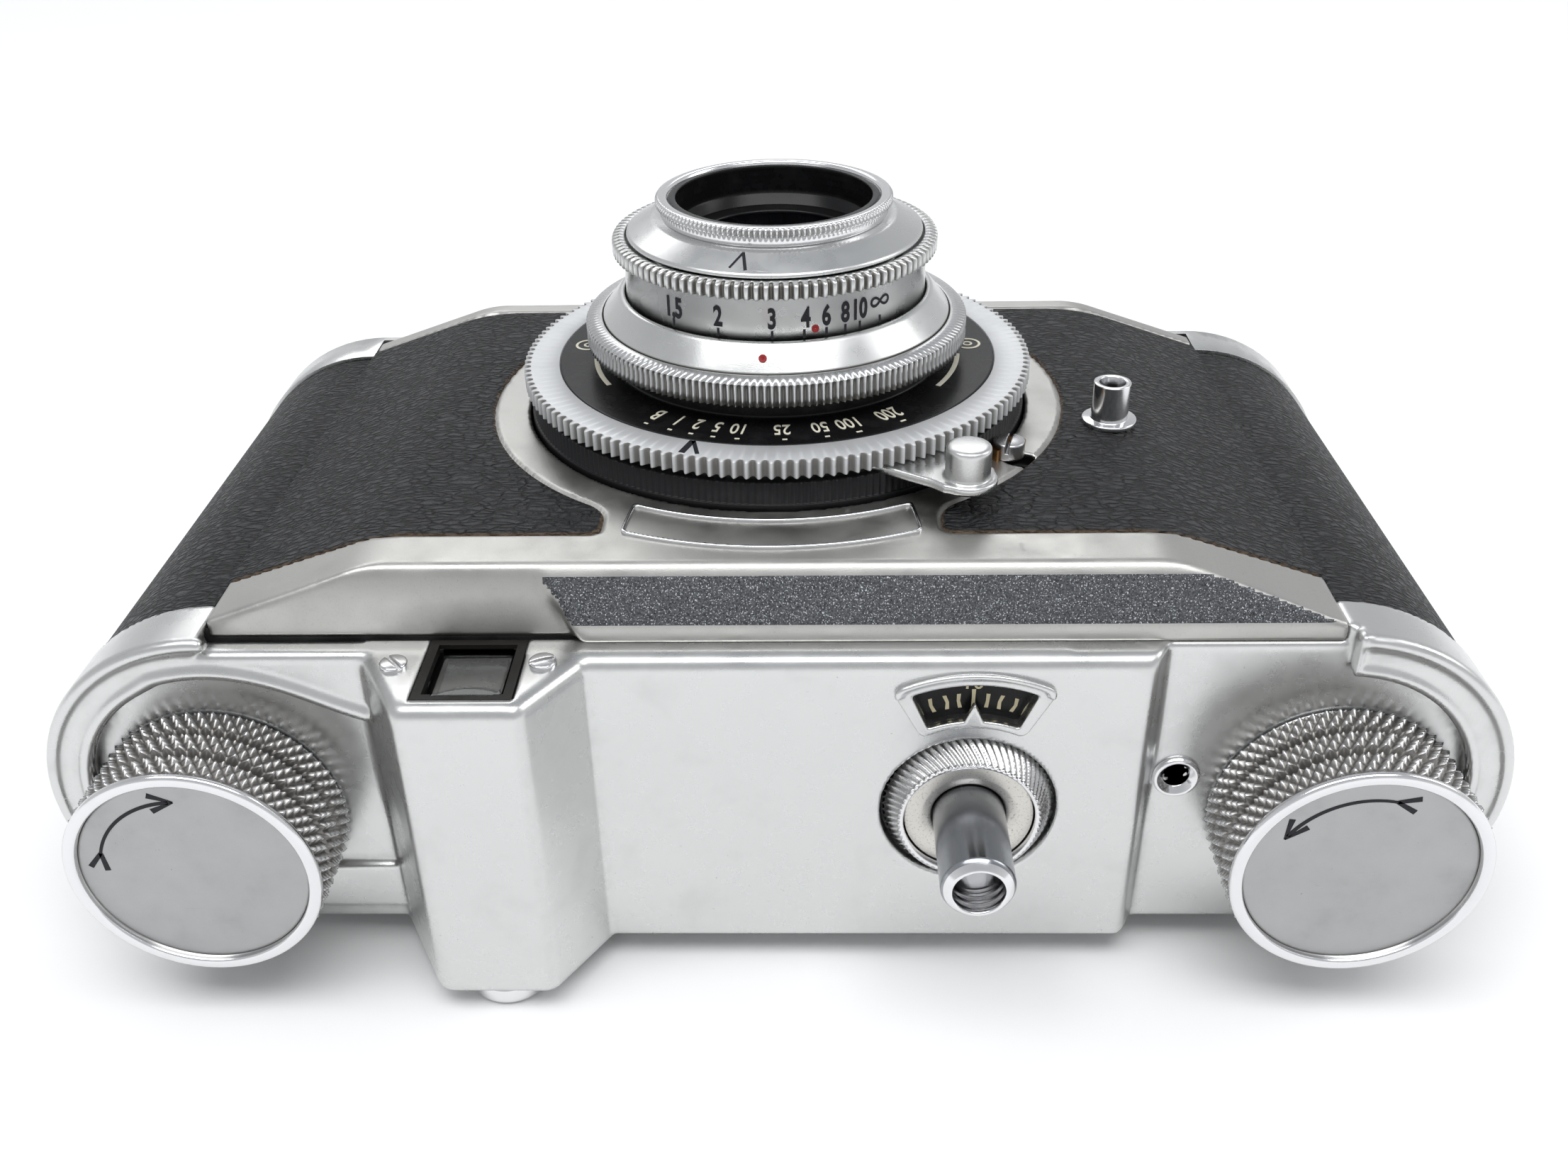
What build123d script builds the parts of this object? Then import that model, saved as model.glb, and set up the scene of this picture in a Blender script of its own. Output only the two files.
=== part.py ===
from build123d import *
from math import acos, cos, degrees, radians, sin, sqrt
import os

# 35 mm viewfinder camera lying on its back, as an assembly of separate pieces.
#
# Frame, in millimetres: +Z is the lens axis, pointing out of the lens; +Y points to the base of the
# camera and -Y to its top plate; +X is the photographer's right. The origin is on the lens axis, in
# the plane of the back.

os.makedirs("parts", exist_ok=True)

# ---------------------------------------------------------------- driving dimensions: body
FRONT_Z = 38.2            # flat front of the casting above the back
END_X = 45.5              # centres of the two round body ends
END_Z = 18.1
COVER_R = 15.6            # outside of the metal skirts at the ends
LEATHER_R = 15.5
CHASSIS_R = 14.85
SKIN = 0.75               # sheet thickness of the top cover and the base
CHASSIS_TOP_Y = -33.4
CHASSIS_BASE_Y = 24.2
CHASSIS_FRONT_Z = END_Z + CHASSIS_R
SPLIT_Z = END_Z           # the back shell meets the chassis here
TOP_SKIRT_Y = -31.0       # lower edge of the top cover's skirt at the ends
BASE_SKIRT_Y = 20.5
BASE_Y = 26.0
RUN = 0.05                # radial clearance of every running fit

# front casting: a trapezoid in X-Z, with a chamfer towards the top plate
FLAT_HALF = 32.3
SLOPE_DROP = 4.5
CAST_EDGE_Y = -32.5
CAST_LIP_Y = -34.8
CAST_FAR_Y = 24.3
CHAMFER_DROP = 4.4
SEAM_Z = FRONT_Z - 6.0    # front face of the top cover
BORDER_Y = -27.5          # near edge of the leather
BORDER_FAR_Y = 21.9
DISC_R = 27.2             # bare round field that the leather leaves round the shutter
LEATHER_T = 0.6
LOBE_X = 15.9             # the leather's corners towards the name plate

# top cover levels, as Y of the surfaces that face the top
DECK_Y = -37.2
LEDGE_Y = -36.2
WELL_Y = -34.9
WELL_R = 12.2
WELL_BEAD_Z = FRONT_Z - 12.7
STEP_X = 31.6
STEP_RUN = 1.3
LEDGE_END_X = 46.0

# finder housing, a trapezoid in X-Y
FINDER_TOP_Y = -43.6
FINDER_FOOT_LEFT = -33.3
FINDER_TOP_LEFT = -28.5
FINDER_TOP_RIGHT = -18.8
FINDER_FOOT_RIGHT = -14.6
FINDER_REAR_Z = FRONT_Z - 36.5
FINDER_X = -23.35
WINDOW_Y = -38.1
WINDOW_W = 7.9
WINDOW_H = 8.2
EYE_Y = -39.5
EYE_R = 3.6

# knobs
KNOB_X = 47.0
KNOB_Z = FRONT_Z - 22.6
KNOB_R = 10.6
KNOB_TOP_Y = -43.8
KNOB_BASE_Y = -35.1
KNOB_GROOVE = 0.7
SHAFT_R = 2.0

# film path
CHAMBER_R = 12.3
CHAMBER_TOP_Y = -24.0
CHAMBER_BASE_Y = 22.0
GATE_W = 36.0
GATE_H = 24.0
RAIL_Z = 4.1
GATE_FACE_Z = 4.6
CORE_HALF = 31.0
SPROCKET_R = 6.0
SPROCKET_X = 26.0
SPROCKET_Z = RAIL_Z + SPROCKET_R + 0.1

# gears
MODULE = 0.5
ADVANCE_TEETH = 32
IDLER_TEETH = 20
SPROCKET_TEETH = 20
COUNTER_TEETH = 40
GEAR_TOP_Y = -33.2
GEAR_H = 1.5

# release and counter
RELEASE_X = 16.2
RELEASE_Z = FRONT_Z - 21.2
RELEASE_R = 3.0
RELEASE_TOP_Y = -47.1
THREAD_R = 2.0
COUNTER_R = 13.4
COUNTER_Y = -36.2         # face of the counter disc
BUSH_R = 4.0
SET_RING_R = 7.1
SIDE_BUSH_X = 33.7
SIDE_BUSH_Z = FRONT_Z - 19.4

# shutter, heights above the front of the casting
HOUSING_R = 23.6
SPIGOT_R = 20.25
SPEED_R = 24.0
SPEED_TOP = 4.5
SPEED_BASE = 3.0
LEVER_BASE = 2.0
LEVER_T = 0.8
LEVER_ANGLE = -54.8
LEVER_R = 28.2
BLADE_PORT_R = 8.0
BLADE_PIVOT_R = 15.5
BLADE_COUNT = 3

# lens, heights above the front of the casting
CELL_R = 10.9
BARREL_R = 12.2
BARREL_FOOT_R = 12.6
COLLAR_R = 15.4
CLAMP_R = 17.85
CLAMP_BASE = 6.47
CLAMP_EDGE = 8.65         # where the knurled wall of the clamp ring ends
CLAMP_TOP = 9.0
CONE_R = 16.2
CONE_TOP = 11.15
SCALE_R = 13.9
FOCUS_R = 14.9
FOCUS_TOP = 16.37
RIM_R = 10.78
RIM_TOP = 19.8
FILTER_R = 8.9
IRIS_COUNT = 5
IRIS_OPEN_R = 5.6

# flash socket
FLASH_X = 30.9
FLASH_Y = -7.0

# removable back with the base
BACK_ARC_Z = 16.6         # centre height of the round corners of the back
BACK_METAL_R = LEATHER_R - LEATHER_T
BACK_T = 0.8
BACK_FLAT_HALF = 42.0
BASE_PLATE_T = 0.8
TRIPOD_R = 3.175
TRIPOD_BUSH_R = 5.0
BUSH_Z = 18.0
KEY_X = 30.0
KEY_R = 5.9


def xz(y):
    """Plane across the camera at a height y; its normal points to the top plate."""
    return Plane(origin=(0, y, 0), x_dir=(1, 0, 0), z_dir=(0, -1, 0))


def front(height):
    """Plane parallel to the front of the casting, at a height above it."""
    return Plane.XY.offset(FRONT_Z + height)


def slot_face(radius):
    """Outline of the body in X-Z with round ends of one radius."""
    with Locations((0, END_Z)):
        SlotCenterToCenter(2 * END_X, 2 * radius)


def ring(plane, outer, inner, height, mode=Mode.ADD):
    """Flat ring, or a disc when inner is zero, standing on a plane."""
    with BuildSketch(plane) as face:
        Circle(outer)
        if inner > 0:
            Circle(inner, mode=Mode.SUBTRACT)
    extrude(face.sketch, amount=height, mode=mode)


def ring_at(plane, x, z, outer, inner, height, mode=Mode.ADD):
    """The same ring, centred on x, z of an X-Z plane."""
    with BuildSketch(plane) as face:
        with Locations((x, z)):
            Circle(outer)
            if inner > 0:
                Circle(inner, mode=Mode.SUBTRACT)
    extrude(face.sketch, amount=height, mode=mode)


def box(x, y, z, mode=Mode.ADD):
    """Box between three pairs of limits."""
    middle = ((x[0] + x[1]) / 2, (y[0] + y[1]) / 2, (z[0] + z[1]) / 2)
    with Locations(middle):
        Box(x[1] - x[0], y[1] - y[0], z[1] - z[0], mode=mode)


def sector(inner, outer, middle, half):
    """Annular sector about the sketch origin; angles in degrees."""
    a = radians(middle - half)
    b = radians(middle + half)
    m = radians(middle)
    with BuildLine() as outline:
        Line((inner * cos(a), inner * sin(a)), (outer * cos(a), outer * sin(a)))
        ThreePointArc((outer * cos(a), outer * sin(a)), (outer * cos(m), outer * sin(m)),
                      (outer * cos(b), outer * sin(b)))
        Line((outer * cos(b), outer * sin(b)), (inner * cos(b), inner * sin(b)))
        ThreePointArc((inner * cos(b), inner * sin(b)), (inner * cos(m), inner * sin(m)),
                      (inner * cos(a), inner * sin(a)))
    make_face(outline.edges())


def toothed_disc(plane, x, z, teeth, pitch_r, phase, bore, height, depth=0.45):
    """Spur gear with plain trapezoid teeth, centred on x, z of an X-Z plane."""
    root = pitch_r - depth
    tip = pitch_r + depth
    step = 360 / teeth
    points = []
    for i in range(teeth):
        middle = phase + i * step
        for offset, radius in ((-0.27, root), (-0.11, tip), (0.11, tip), (0.27, root)):
            angle = radians(middle + offset * step)
            points.append((x + radius * cos(angle), z + radius * sin(angle)))
    with BuildSketch(plane) as face:
        with BuildLine():
            Polyline(*points, close=True)
        make_face()
        if bore > 0:
            with Locations((x, z)):
                Circle(bore, mode=Mode.SUBTRACT)
    extrude(face.sketch, amount=height)


def save(part, label):
    """Name a finished piece and write it."""
    part.label = label
    export_step(part, f"parts/{label}.step")


# ---------------------------------------------------------------- gear positions
ADVANCE_GEAR_R = MODULE * ADVANCE_TEETH / 2
IDLER_R = MODULE * IDLER_TEETH / 2
SPROCKET_GEAR_R = MODULE * SPROCKET_TEETH / 2
reach = sqrt((KNOB_X - SPROCKET_X) ** 2 + (KNOB_Z - SPROCKET_Z) ** 2)
to_idler = ADVANCE_GEAR_R + IDLER_R
to_sprocket = IDLER_R + SPROCKET_GEAR_R
along = (to_idler ** 2 - to_sprocket ** 2 + reach ** 2) / (2 * reach)
aside = sqrt(to_idler ** 2 - along ** 2)
ux = (SPROCKET_X - KNOB_X) / reach
uz = (SPROCKET_Z - KNOB_Z) / reach
IDLER_X = KNOB_X + along * ux + aside * uz
IDLER_Z = KNOB_Z + along * uz - aside * ux


def direction(x0, z0, x1, z1):
    """Angle in degrees of the line from one axis to another, in X-Z."""
    length = sqrt((x1 - x0) ** 2 + (z1 - z0) ** 2)
    angle = degrees(acos((x1 - x0) / length))
    return angle if z1 >= z0 else -angle


ADVANCE_TO_IDLER = direction(KNOB_X, KNOB_Z, IDLER_X, IDLER_Z)
IDLER_TO_SPROCKET = direction(IDLER_X, IDLER_Z, SPROCKET_X, SPROCKET_Z)
# a tooth of the advance gear points at the idler, a gap of the idler faces it
ADVANCE_PHASE = ADVANCE_TO_IDLER
IDLER_PHASE = ADVANCE_TO_IDLER + 180 + 180 / IDLER_TEETH
IDLER_STEP = 360 / IDLER_TEETH
tooth_offset = (IDLER_TO_SPROCKET - IDLER_PHASE) % IDLER_STEP
SPROCKET_PHASE = IDLER_TO_SPROCKET + 180 + 180 / SPROCKET_TEETH + tooth_offset

# ---------------------------------------------------------------- chassis
with BuildPart() as casting:
    # front half of the body with its round ends
    with BuildSketch(xz(CHASSIS_BASE_Y)):
        slot_face(CHASSIS_R)
        with Locations((0, SPLIT_Z / 2)):
            Rectangle(140, SPLIT_Z, mode=Mode.SUBTRACT)
    extrude(amount=CHASSIS_BASE_Y - CHASSIS_TOP_Y)
    # core behind it, between the two film chambers
    box((-CORE_HALF, CORE_HALF), (CHASSIS_TOP_Y, CHASSIS_BASE_Y), (GATE_FACE_Z, SPLIT_Z))
    # end walls of the chambers reach back to the film plane
    for side in (-1, 1):
        for y in ((CHASSIS_TOP_Y, CHAMBER_TOP_Y), (CHAMBER_BASE_Y, CHASSIS_BASE_Y)):
            box(sorted((side * CORE_HALF, side * (KNOB_X + 4.5))), y, (GATE_FACE_Z, SPLIT_Z))
    # film chambers, open to the rear
    for side in (-1, 1):
        with BuildSketch(xz(CHAMBER_BASE_Y)):
            with Locations((side * KNOB_X, KNOB_Z)):
                Circle(CHAMBER_R)
            with Locations((side * KNOB_X, KNOB_Z / 2)):
                Rectangle(2 * CHAMBER_R, KNOB_Z)
        extrude(amount=CHAMBER_BASE_Y - CHAMBER_TOP_Y, mode=Mode.SUBTRACT)
    # light box, from the film gate to the shutter
    with BuildSketch(Plane.XY.offset(GATE_FACE_Z)):
        Rectangle(GATE_W, GATE_H)
    with BuildSketch(Plane.XY.offset(CHASSIS_FRONT_Z)):
        Rectangle(19, 19)
    loft(mode=Mode.SUBTRACT)
    # film rails above and below the gate
    for y in (-17.2, -12.9, 12.9, 17.2):
        box((-24.0, 18.5), (y - 0.5, y + 0.5), (RAIL_Z, GATE_FACE_Z))
    # hollow for the sprocket
    ring_at(xz(18.0), SPROCKET_X, SPROCKET_Z, SPROCKET_R + 1.0, 0, 36.0, Mode.SUBTRACT)
    box((SPROCKET_X - 4, SPROCKET_X + 4), (-18.0, 18.0), (GATE_FACE_Z - 1, SPROCKET_Z), Mode.SUBTRACT)
    # gear recess under the top cover
    for x, z, r in ((KNOB_X, KNOB_Z, ADVANCE_GEAR_R), (IDLER_X, IDLER_Z, IDLER_R),
                    (SPROCKET_X, SPROCKET_Z, SPROCKET_GEAR_R)):
        ring_at(xz(GEAR_TOP_Y + GEAR_H + 0.3), x, z, r + 0.9, 0, 3.0, Mode.SUBTRACT)
    # shaft bores in the top wall, and the seats of the shafts in the base wall
    ring_at(xz(-20.0), -KNOB_X, KNOB_Z, 2.5 + RUN, 0, 16.0, Mode.SUBTRACT)
    ring_at(xz(-20.0), KNOB_X, KNOB_Z, SHAFT_R + RUN, 0, 16.0, Mode.SUBTRACT)
    ring_at(xz(CHAMBER_BASE_Y + 1.2), KNOB_X, KNOB_Z, 1.5 + RUN, 0, 3.0, Mode.SUBTRACT)
    ring_at(xz(19.5), SPROCKET_X, SPROCKET_Z, 1.5 + RUN, 0, 60.0, Mode.SUBTRACT)
    # idler pin, standing in the recess
    ring_at(xz(GEAR_TOP_Y + GEAR_H + 0.3), IDLER_X, IDLER_Z, 1.2, 0, 1.9)
    # release guide: spring seat and stem hole
    ring_at(xz(-28.5), RELEASE_X, RELEASE_Z, RELEASE_R + 0.3, 0, 6.0, Mode.SUBTRACT)
    ring_at(xz(-21.0), RELEASE_X, RELEASE_Z, 1.4 + RUN, 0, 10.0, Mode.SUBTRACT)
    # room for the tripod bush
    ring_at(xz(CHASSIS_BASE_Y + 1), 0, BUSH_Z, TRIPOD_BUSH_R + 0.3, 0, 6.5, Mode.SUBTRACT)

# top and base walls, the wells of the cassette and of the spool, and the film gate between them
WELLS_X = 19.5
with BuildPart() as chassis:
    add(casting.part)
    box((-70, 70), (CHAMBER_TOP_Y, CHAMBER_BASE_Y), (0, 40), Mode.SUBTRACT)
save(chassis.part, "chassis")

with BuildPart() as film_wells:
    add(casting.part)
    for y in ((CHASSIS_TOP_Y - 1, CHAMBER_TOP_Y), (CHAMBER_BASE_Y, CHASSIS_BASE_Y + 1)):
        box((-70, 70), y, (0, 40), Mode.SUBTRACT)
    box((-WELLS_X, WELLS_X), (CHAMBER_TOP_Y, CHAMBER_BASE_Y), (0, 40), Mode.SUBTRACT)
save(film_wells.part, "film_wells")

with BuildPart() as film_gate:
    add(casting.part)
    box((-WELLS_X, WELLS_X), (CHAMBER_TOP_Y, CHAMBER_BASE_Y), (0, 40), Mode.INTERSECT)
save(film_gate.part, "film_gate")

# ---------------------------------------------------------------- front casting
with BuildPart() as front_casting:
    with BuildSketch(xz(CAST_FAR_Y)):
        with BuildLine():
            Polyline((-END_X, CHASSIS_FRONT_Z), (-END_X, FRONT_Z - SLOPE_DROP), (-FLAT_HALF, FRONT_Z),
                     (FLAT_HALF, FRONT_Z), (END_X, FRONT_Z - SLOPE_DROP), (END_X, CHASSIS_FRONT_Z), close=True)
        make_face()
    extrude(amount=CAST_FAR_Y - CAST_LIP_Y)
    # lip in front of the top cover's lower edge
    box((-END_X, END_X), (CAST_LIP_Y, CHASSIS_TOP_Y), (SEAM_Z, CHASSIS_FRONT_Z))
    # long chamfer towards the top plate
    with BuildSketch(Plane.YZ.offset(-END_X - 1)):
        with BuildLine():
            Polyline((CAST_EDGE_Y, FRONT_Z), (CAST_LIP_Y, FRONT_Z - CHAMFER_DROP),
                     (CAST_LIP_Y - 2, FRONT_Z - CHAMFER_DROP), (CAST_LIP_Y - 2, FRONT_Z + 1),
                     (CAST_EDGE_Y, FRONT_Z + 1), close=True)
        make_face()
    extrude(amount=2 * END_X + 2, mode=Mode.SUBTRACT)
    # steeper relief in front of the finder window
    with BuildSketch(Plane.YZ.offset(-END_X - 1)):
        with BuildLine():
            Polyline((CAST_EDGE_Y, FRONT_Z), (CHASSIS_TOP_Y - 0.1, SEAM_Z), (CAST_LIP_Y - 2, SEAM_Z),
                     (CAST_LIP_Y - 2, FRONT_Z + 1), (CAST_EDGE_Y, FRONT_Z + 1), close=True)
        make_face()
    extrude(amount=END_X + 1 - 18.0, mode=Mode.SUBTRACT)
    # seat of the shutter
    ring(Plane.XY.offset(CHASSIS_FRONT_Z), HOUSING_R + 0.1, 0, 10, Mode.SUBTRACT)
    # field that the leather fills
    with BuildSketch(xz(BORDER_FAR_Y)):
        for side in (-1, 1):
            with BuildLine():
                Polyline((side * LOBE_X, FRONT_Z - LEATHER_T), (side * FLAT_HALF, FRONT_Z - LEATHER_T),
                         (side * END_X, FRONT_Z - SLOPE_DROP - LEATHER_T), (side * (END_X + 1), FRONT_Z - SLOPE_DROP),
                         (side * (END_X + 1), FRONT_Z + 1), (side * LOBE_X, FRONT_Z + 1), close=True)
            make_face()
    extrude(amount=BORDER_FAR_Y - BORDER_Y, mode=Mode.SUBTRACT)
    with BuildSketch(front(-LEATHER_T)):
        Circle(DISC_R)
        Circle(HOUSING_R + 0.1, mode=Mode.SUBTRACT)
    extrude(amount=LEATHER_T)
    # blank name panel with a raised border
    with BuildSketch(front(0)):
        sector(25.3, 30.4, -90, 26)
    extrude(amount=0.35)
    with BuildSketch(front(0.2)):
        sector(25.9, 29.8, -90, 24.6)
    extrude(amount=1, mode=Mode.SUBTRACT)
save(front_casting.part, "front_casting")

# ---------------------------------------------------------------- leather, one sheet for each side
for side, label in ((-1, "leather_left"), (1, "leather_right")):
    with BuildPart() as leather:
        with BuildSketch(xz(BORDER_FAR_Y)):
            with BuildLine():
                Polyline((side * LOBE_X, FRONT_Z - LEATHER_T), (side * FLAT_HALF, FRONT_Z - LEATHER_T),
                         (side * END_X, FRONT_Z - SLOPE_DROP - LEATHER_T), (side * END_X, FRONT_Z - SLOPE_DROP),
                         (side * FLAT_HALF, FRONT_Z), (side * LOBE_X, FRONT_Z), close=True)
            make_face()
        extrude(amount=BORDER_FAR_Y - BORDER_Y)
        ring(front(-2 * LEATHER_T), DISC_R, 0, 3 * LEATHER_T, Mode.SUBTRACT)
        with BuildSketch(front(-2 * LEATHER_T)):
            with Locations((FLASH_X, FLASH_Y)):
                Circle(2.1 + RUN)
        extrude(amount=3 * LEATHER_T, mode=Mode.SUBTRACT)
        # round end of the body
        with BuildSketch(xz(BASE_SKIRT_Y - RUN)):
            with Locations((side * END_X, END_Z)):
                Circle(LEATHER_R)
                Circle(CHASSIS_R, mode=Mode.SUBTRACT)
            with Locations((side * (END_X - 20), END_Z)):
                Rectangle(40, 60, mode=Mode.SUBTRACT)
            with Locations((side * END_X, SPLIT_Z - 20)):
                Rectangle(60, 40, mode=Mode.SUBTRACT)
        extrude(amount=BASE_SKIRT_Y - TOP_SKIRT_Y - 2 * RUN)
        corner = leather.edges().filter_by(Axis.Z).group_by(Axis.X)[0 if side > 0 else -1]
        fillet(corner.filter_by(lambda e: e.center().Y < BORDER_Y + 2), 1.5)
    save(leather.part, label)

# ---------------------------------------------------------------- top cover
with BuildPart() as top_cover:
    with BuildSketch(xz(TOP_SKIRT_Y)):
        slot_face(COVER_R)
    extrude(amount=TOP_SKIRT_Y - LEDGE_Y)
    # the front stands back to the seam between the round ends
    box((-END_X, END_X), (LEDGE_Y - 1, TOP_SKIRT_Y + 1), (SEAM_Z, FRONT_Z), Mode.SUBTRACT)
    # left well, with the bead that runs on to the finder housing
    bead_x = -END_X + sqrt(WELL_R ** 2 - (WELL_BEAD_Z - END_Z) ** 2)
    with BuildSketch(xz(WELL_Y)):
        with Locations((-END_X, END_Z)):
            Circle(WELL_R)
        with Locations((-END_X, END_Z / 2)):
            Rectangle(2 * WELL_R, END_Z)
        with Locations(((FINDER_FOOT_LEFT - END_X) / 2, WELL_BEAD_Z / 2)):
            Rectangle(END_X + FINDER_FOOT_LEFT, WELL_BEAD_Z)
        fillet(vertices().sort_by_distance((bead_x, WELL_BEAD_Z, 0))[0], 4)
    extrude(amount=5, mode=Mode.SUBTRACT)
    # right well, open towards the raised middle
    with BuildSketch(xz(WELL_Y)):
        with Locations((END_X, END_Z)):
            Circle(WELL_R)
        with Locations((END_X, END_Z / 2)):
            Rectangle(2 * WELL_R, END_Z)
        with Locations(((STEP_X + LEDGE_END_X) / 2, FRONT_Z / 2)):
            Rectangle(LEDGE_END_X - STEP_X, FRONT_Z)
    extrude(amount=5, mode=Mode.SUBTRACT)
    # raised middle
    with BuildSketch(Plane.XY.offset(END_Z - COVER_R)):
        with BuildLine():
            Polyline((FINDER_FOOT_RIGHT - 2, WELL_Y + 0.5), (FINDER_FOOT_RIGHT - 2, DECK_Y),
                     (STEP_X - STEP_RUN, DECK_Y), (STEP_X, WELL_Y), (STEP_X, WELL_Y + 0.5), close=True)
        make_face()
    extrude(amount=SEAM_Z - END_Z + COVER_R)
    # finder housing
    with BuildSketch(Plane.XY.offset(FINDER_REAR_Z)):
        with BuildLine():
            Polyline((FINDER_FOOT_LEFT, CHASSIS_TOP_Y - RUN), (FINDER_FOOT_LEFT, WELL_Y),
                     (FINDER_TOP_LEFT, FINDER_TOP_Y), (FINDER_TOP_RIGHT, FINDER_TOP_Y), (FINDER_FOOT_RIGHT, DECK_Y),
                     (FINDER_FOOT_RIGHT, CHASSIS_TOP_Y - RUN), close=True)
        make_face()
    extrude(amount=SEAM_Z - FINDER_REAR_Z)
    # hollow under the decks, inside the skirts
    with BuildSketch(xz(TOP_SKIRT_Y)):
        slot_face(CHASSIS_R + RUN)
    extrude(amount=TOP_SKIRT_Y - WELL_Y - SKIN, mode=Mode.SUBTRACT)
    # hollow of the raised middle
    box((FINDER_FOOT_RIGHT + 1.0, STEP_X - 1.7), (DECK_Y + SKIN, -30), (END_Z - COVER_R + SKIN, SEAM_Z - SKIN),
        Mode.SUBTRACT)
    # hollow of the finder housing
    with BuildSketch(Plane.XY.offset(FINDER_REAR_Z + 0.9)):
        with BuildLine():
            Polyline((FINDER_FOOT_LEFT + 1.6, -30), (FINDER_FOOT_LEFT + 1.6, WELL_Y - 0.5),
                     (FINDER_TOP_LEFT + 0.6, FINDER_TOP_Y + 0.9), (FINDER_TOP_RIGHT - 0.6, FINDER_TOP_Y + 0.9),
                     (FINDER_FOOT_RIGHT - 1.2, DECK_Y), (FINDER_FOOT_RIGHT - 1.2, -30), close=True)
        make_face()
    extrude(amount=SEAM_Z - FINDER_REAR_Z - 1.8, mode=Mode.SUBTRACT)
    # openings: finder window, eyepiece, finder screws
    box((FINDER_X - WINDOW_W / 2, FINDER_X + WINDOW_W / 2), (WINDOW_Y - WINDOW_H / 2, WINDOW_Y + WINDOW_H / 2),
        (SEAM_Z - 2, SEAM_Z + 1), Mode.SUBTRACT)
    with BuildSketch(Plane.XY.offset(FINDER_REAR_Z - 1)):
        with Locations((FINDER_X, EYE_Y)):
            Circle(EYE_R - 0.8)
    extrude(amount=3, mode=Mode.SUBTRACT)
    with BuildSketch(Plane.XY.offset(SEAM_Z - 3)):
        with Locations((FINDER_X - 6.1, WINDOW_Y + 0.4), (FINDER_X + 5.6, WINDOW_Y + 0.6)):
            Circle(0.6)
    extrude(amount=4, mode=Mode.SUBTRACT)
    # openings in the decks: setting ring, counter window, shafts, side bush
    ring_at(xz(-34.0), RELEASE_X, RELEASE_Z, SET_RING_R + 0.1, 0, 6.0, Mode.SUBTRACT)
    with BuildSketch(Plane(origin=(RELEASE_X, DECK_Y + 1.5, RELEASE_Z), x_dir=(1, 0, 0), z_dir=(0, -1, 0))):
        sector(9.4, 12.9, 90, 23)
    extrude(amount=3, mode=Mode.SUBTRACT)
    ring_at(xz(-33.0), -KNOB_X, KNOB_Z, 3.3, 0, 5.0, Mode.SUBTRACT)
    ring_at(xz(-33.0), KNOB_X, KNOB_Z, SHAFT_R + 0.3, 0, 5.0, Mode.SUBTRACT)
    ring_at(xz(-33.0), SIDE_BUSH_X, SIDE_BUSH_Z, 1.5, 0, 5.0, Mode.SUBTRACT)
save(top_cover.part, "top_cover")

# ---------------------------------------------------------------- finder
with BuildPart() as finder_tube:
    box((FINDER_X - 3.9, FINDER_X + 3.9), (WINDOW_Y - 4.05, WINDOW_Y + 4.05), (FINDER_REAR_Z + 1.0, SEAM_Z - 0.05))
    # seat of the window glass, passage, seat of the eye lens
    box((FINDER_X - 3.15, FINDER_X + 3.15), (WINDOW_Y - 3.35, WINDOW_Y + 3.35), (SEAM_Z - 1.3, SEAM_Z), Mode.SUBTRACT)
    box((FINDER_X - 2.4, FINDER_X + 2.4), (EYE_Y - 2.2, WINDOW_Y + 2.8), (FINDER_REAR_Z + 3, SEAM_Z), Mode.SUBTRACT)
    with BuildSketch(Plane.XY.offset(FINDER_REAR_Z)):
        with Locations((FINDER_X, EYE_Y)):
            Circle(2.4)
    extrude(amount=4, mode=Mode.SUBTRACT)
save(finder_tube.part, "finder_tube")

with BuildPart() as finder_window:
    box((FINDER_X - 3.1, FINDER_X + 3.1), (WINDOW_Y - 3.3, WINDOW_Y + 3.3), (SEAM_Z - 1.3, SEAM_Z - 0.3))
save(finder_window.part, "finder_window")

with BuildPart() as finder_eye_lens:
    with BuildSketch(Plane.XY.offset(FINDER_REAR_Z + 1.2)):
        with Locations((FINDER_X, EYE_Y)):
            Circle(2.35)
    extrude(amount=1.4)
save(finder_eye_lens.part, "finder_eye_lens")

with BuildPart() as eyepiece_ring:
    with BuildSketch(Plane.XY.offset(0.2)):
        with Locations((FINDER_X, EYE_Y)):
            Circle(EYE_R)
    extrude(amount=FINDER_REAR_Z - 0.2)
    with BuildSketch(Plane.XY.offset(FINDER_REAR_Z)):
        with Locations((FINDER_X, EYE_Y)):
            Circle(EYE_R - 0.85)
    extrude(amount=0.9)
    with BuildSketch(Plane.XY):
        with Locations((FINDER_X, EYE_Y)):
            Circle(2.0)
    extrude(amount=4, mode=Mode.SUBTRACT)
save(eyepiece_ring.part, "eyepiece_ring")

with BuildPart() as finder_screws:
    for x, y in ((FINDER_X - 6.1, WINDOW_Y + 0.4), (FINDER_X + 5.6, WINDOW_Y + 0.6)):
        with BuildSketch(Plane.XY.offset(SEAM_Z - 2.4)):
            with Locations((x, y)):
                Circle(0.55)
        extrude(amount=2.4)
        with BuildSketch(Plane.XY.offset(SEAM_Z)):
            with Locations((x, y)):
                Circle(1.1)
        extrude(amount=0.45)
        with BuildSketch(Plane.XY.offset(SEAM_Z + 0.2)):
            with Locations((x, y)):
                Rectangle(0.35, 3, rotation=38)
        extrude(amount=1, mode=Mode.SUBTRACT)
save(finder_screws.part, "finder_screws")

# ---------------------------------------------------------------- frame counter and release
RELEASE_DECK = Plane(origin=(RELEASE_X, DECK_Y, RELEASE_Z), x_dir=(1, 0, 0), z_dir=(0, -1, 0))

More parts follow.
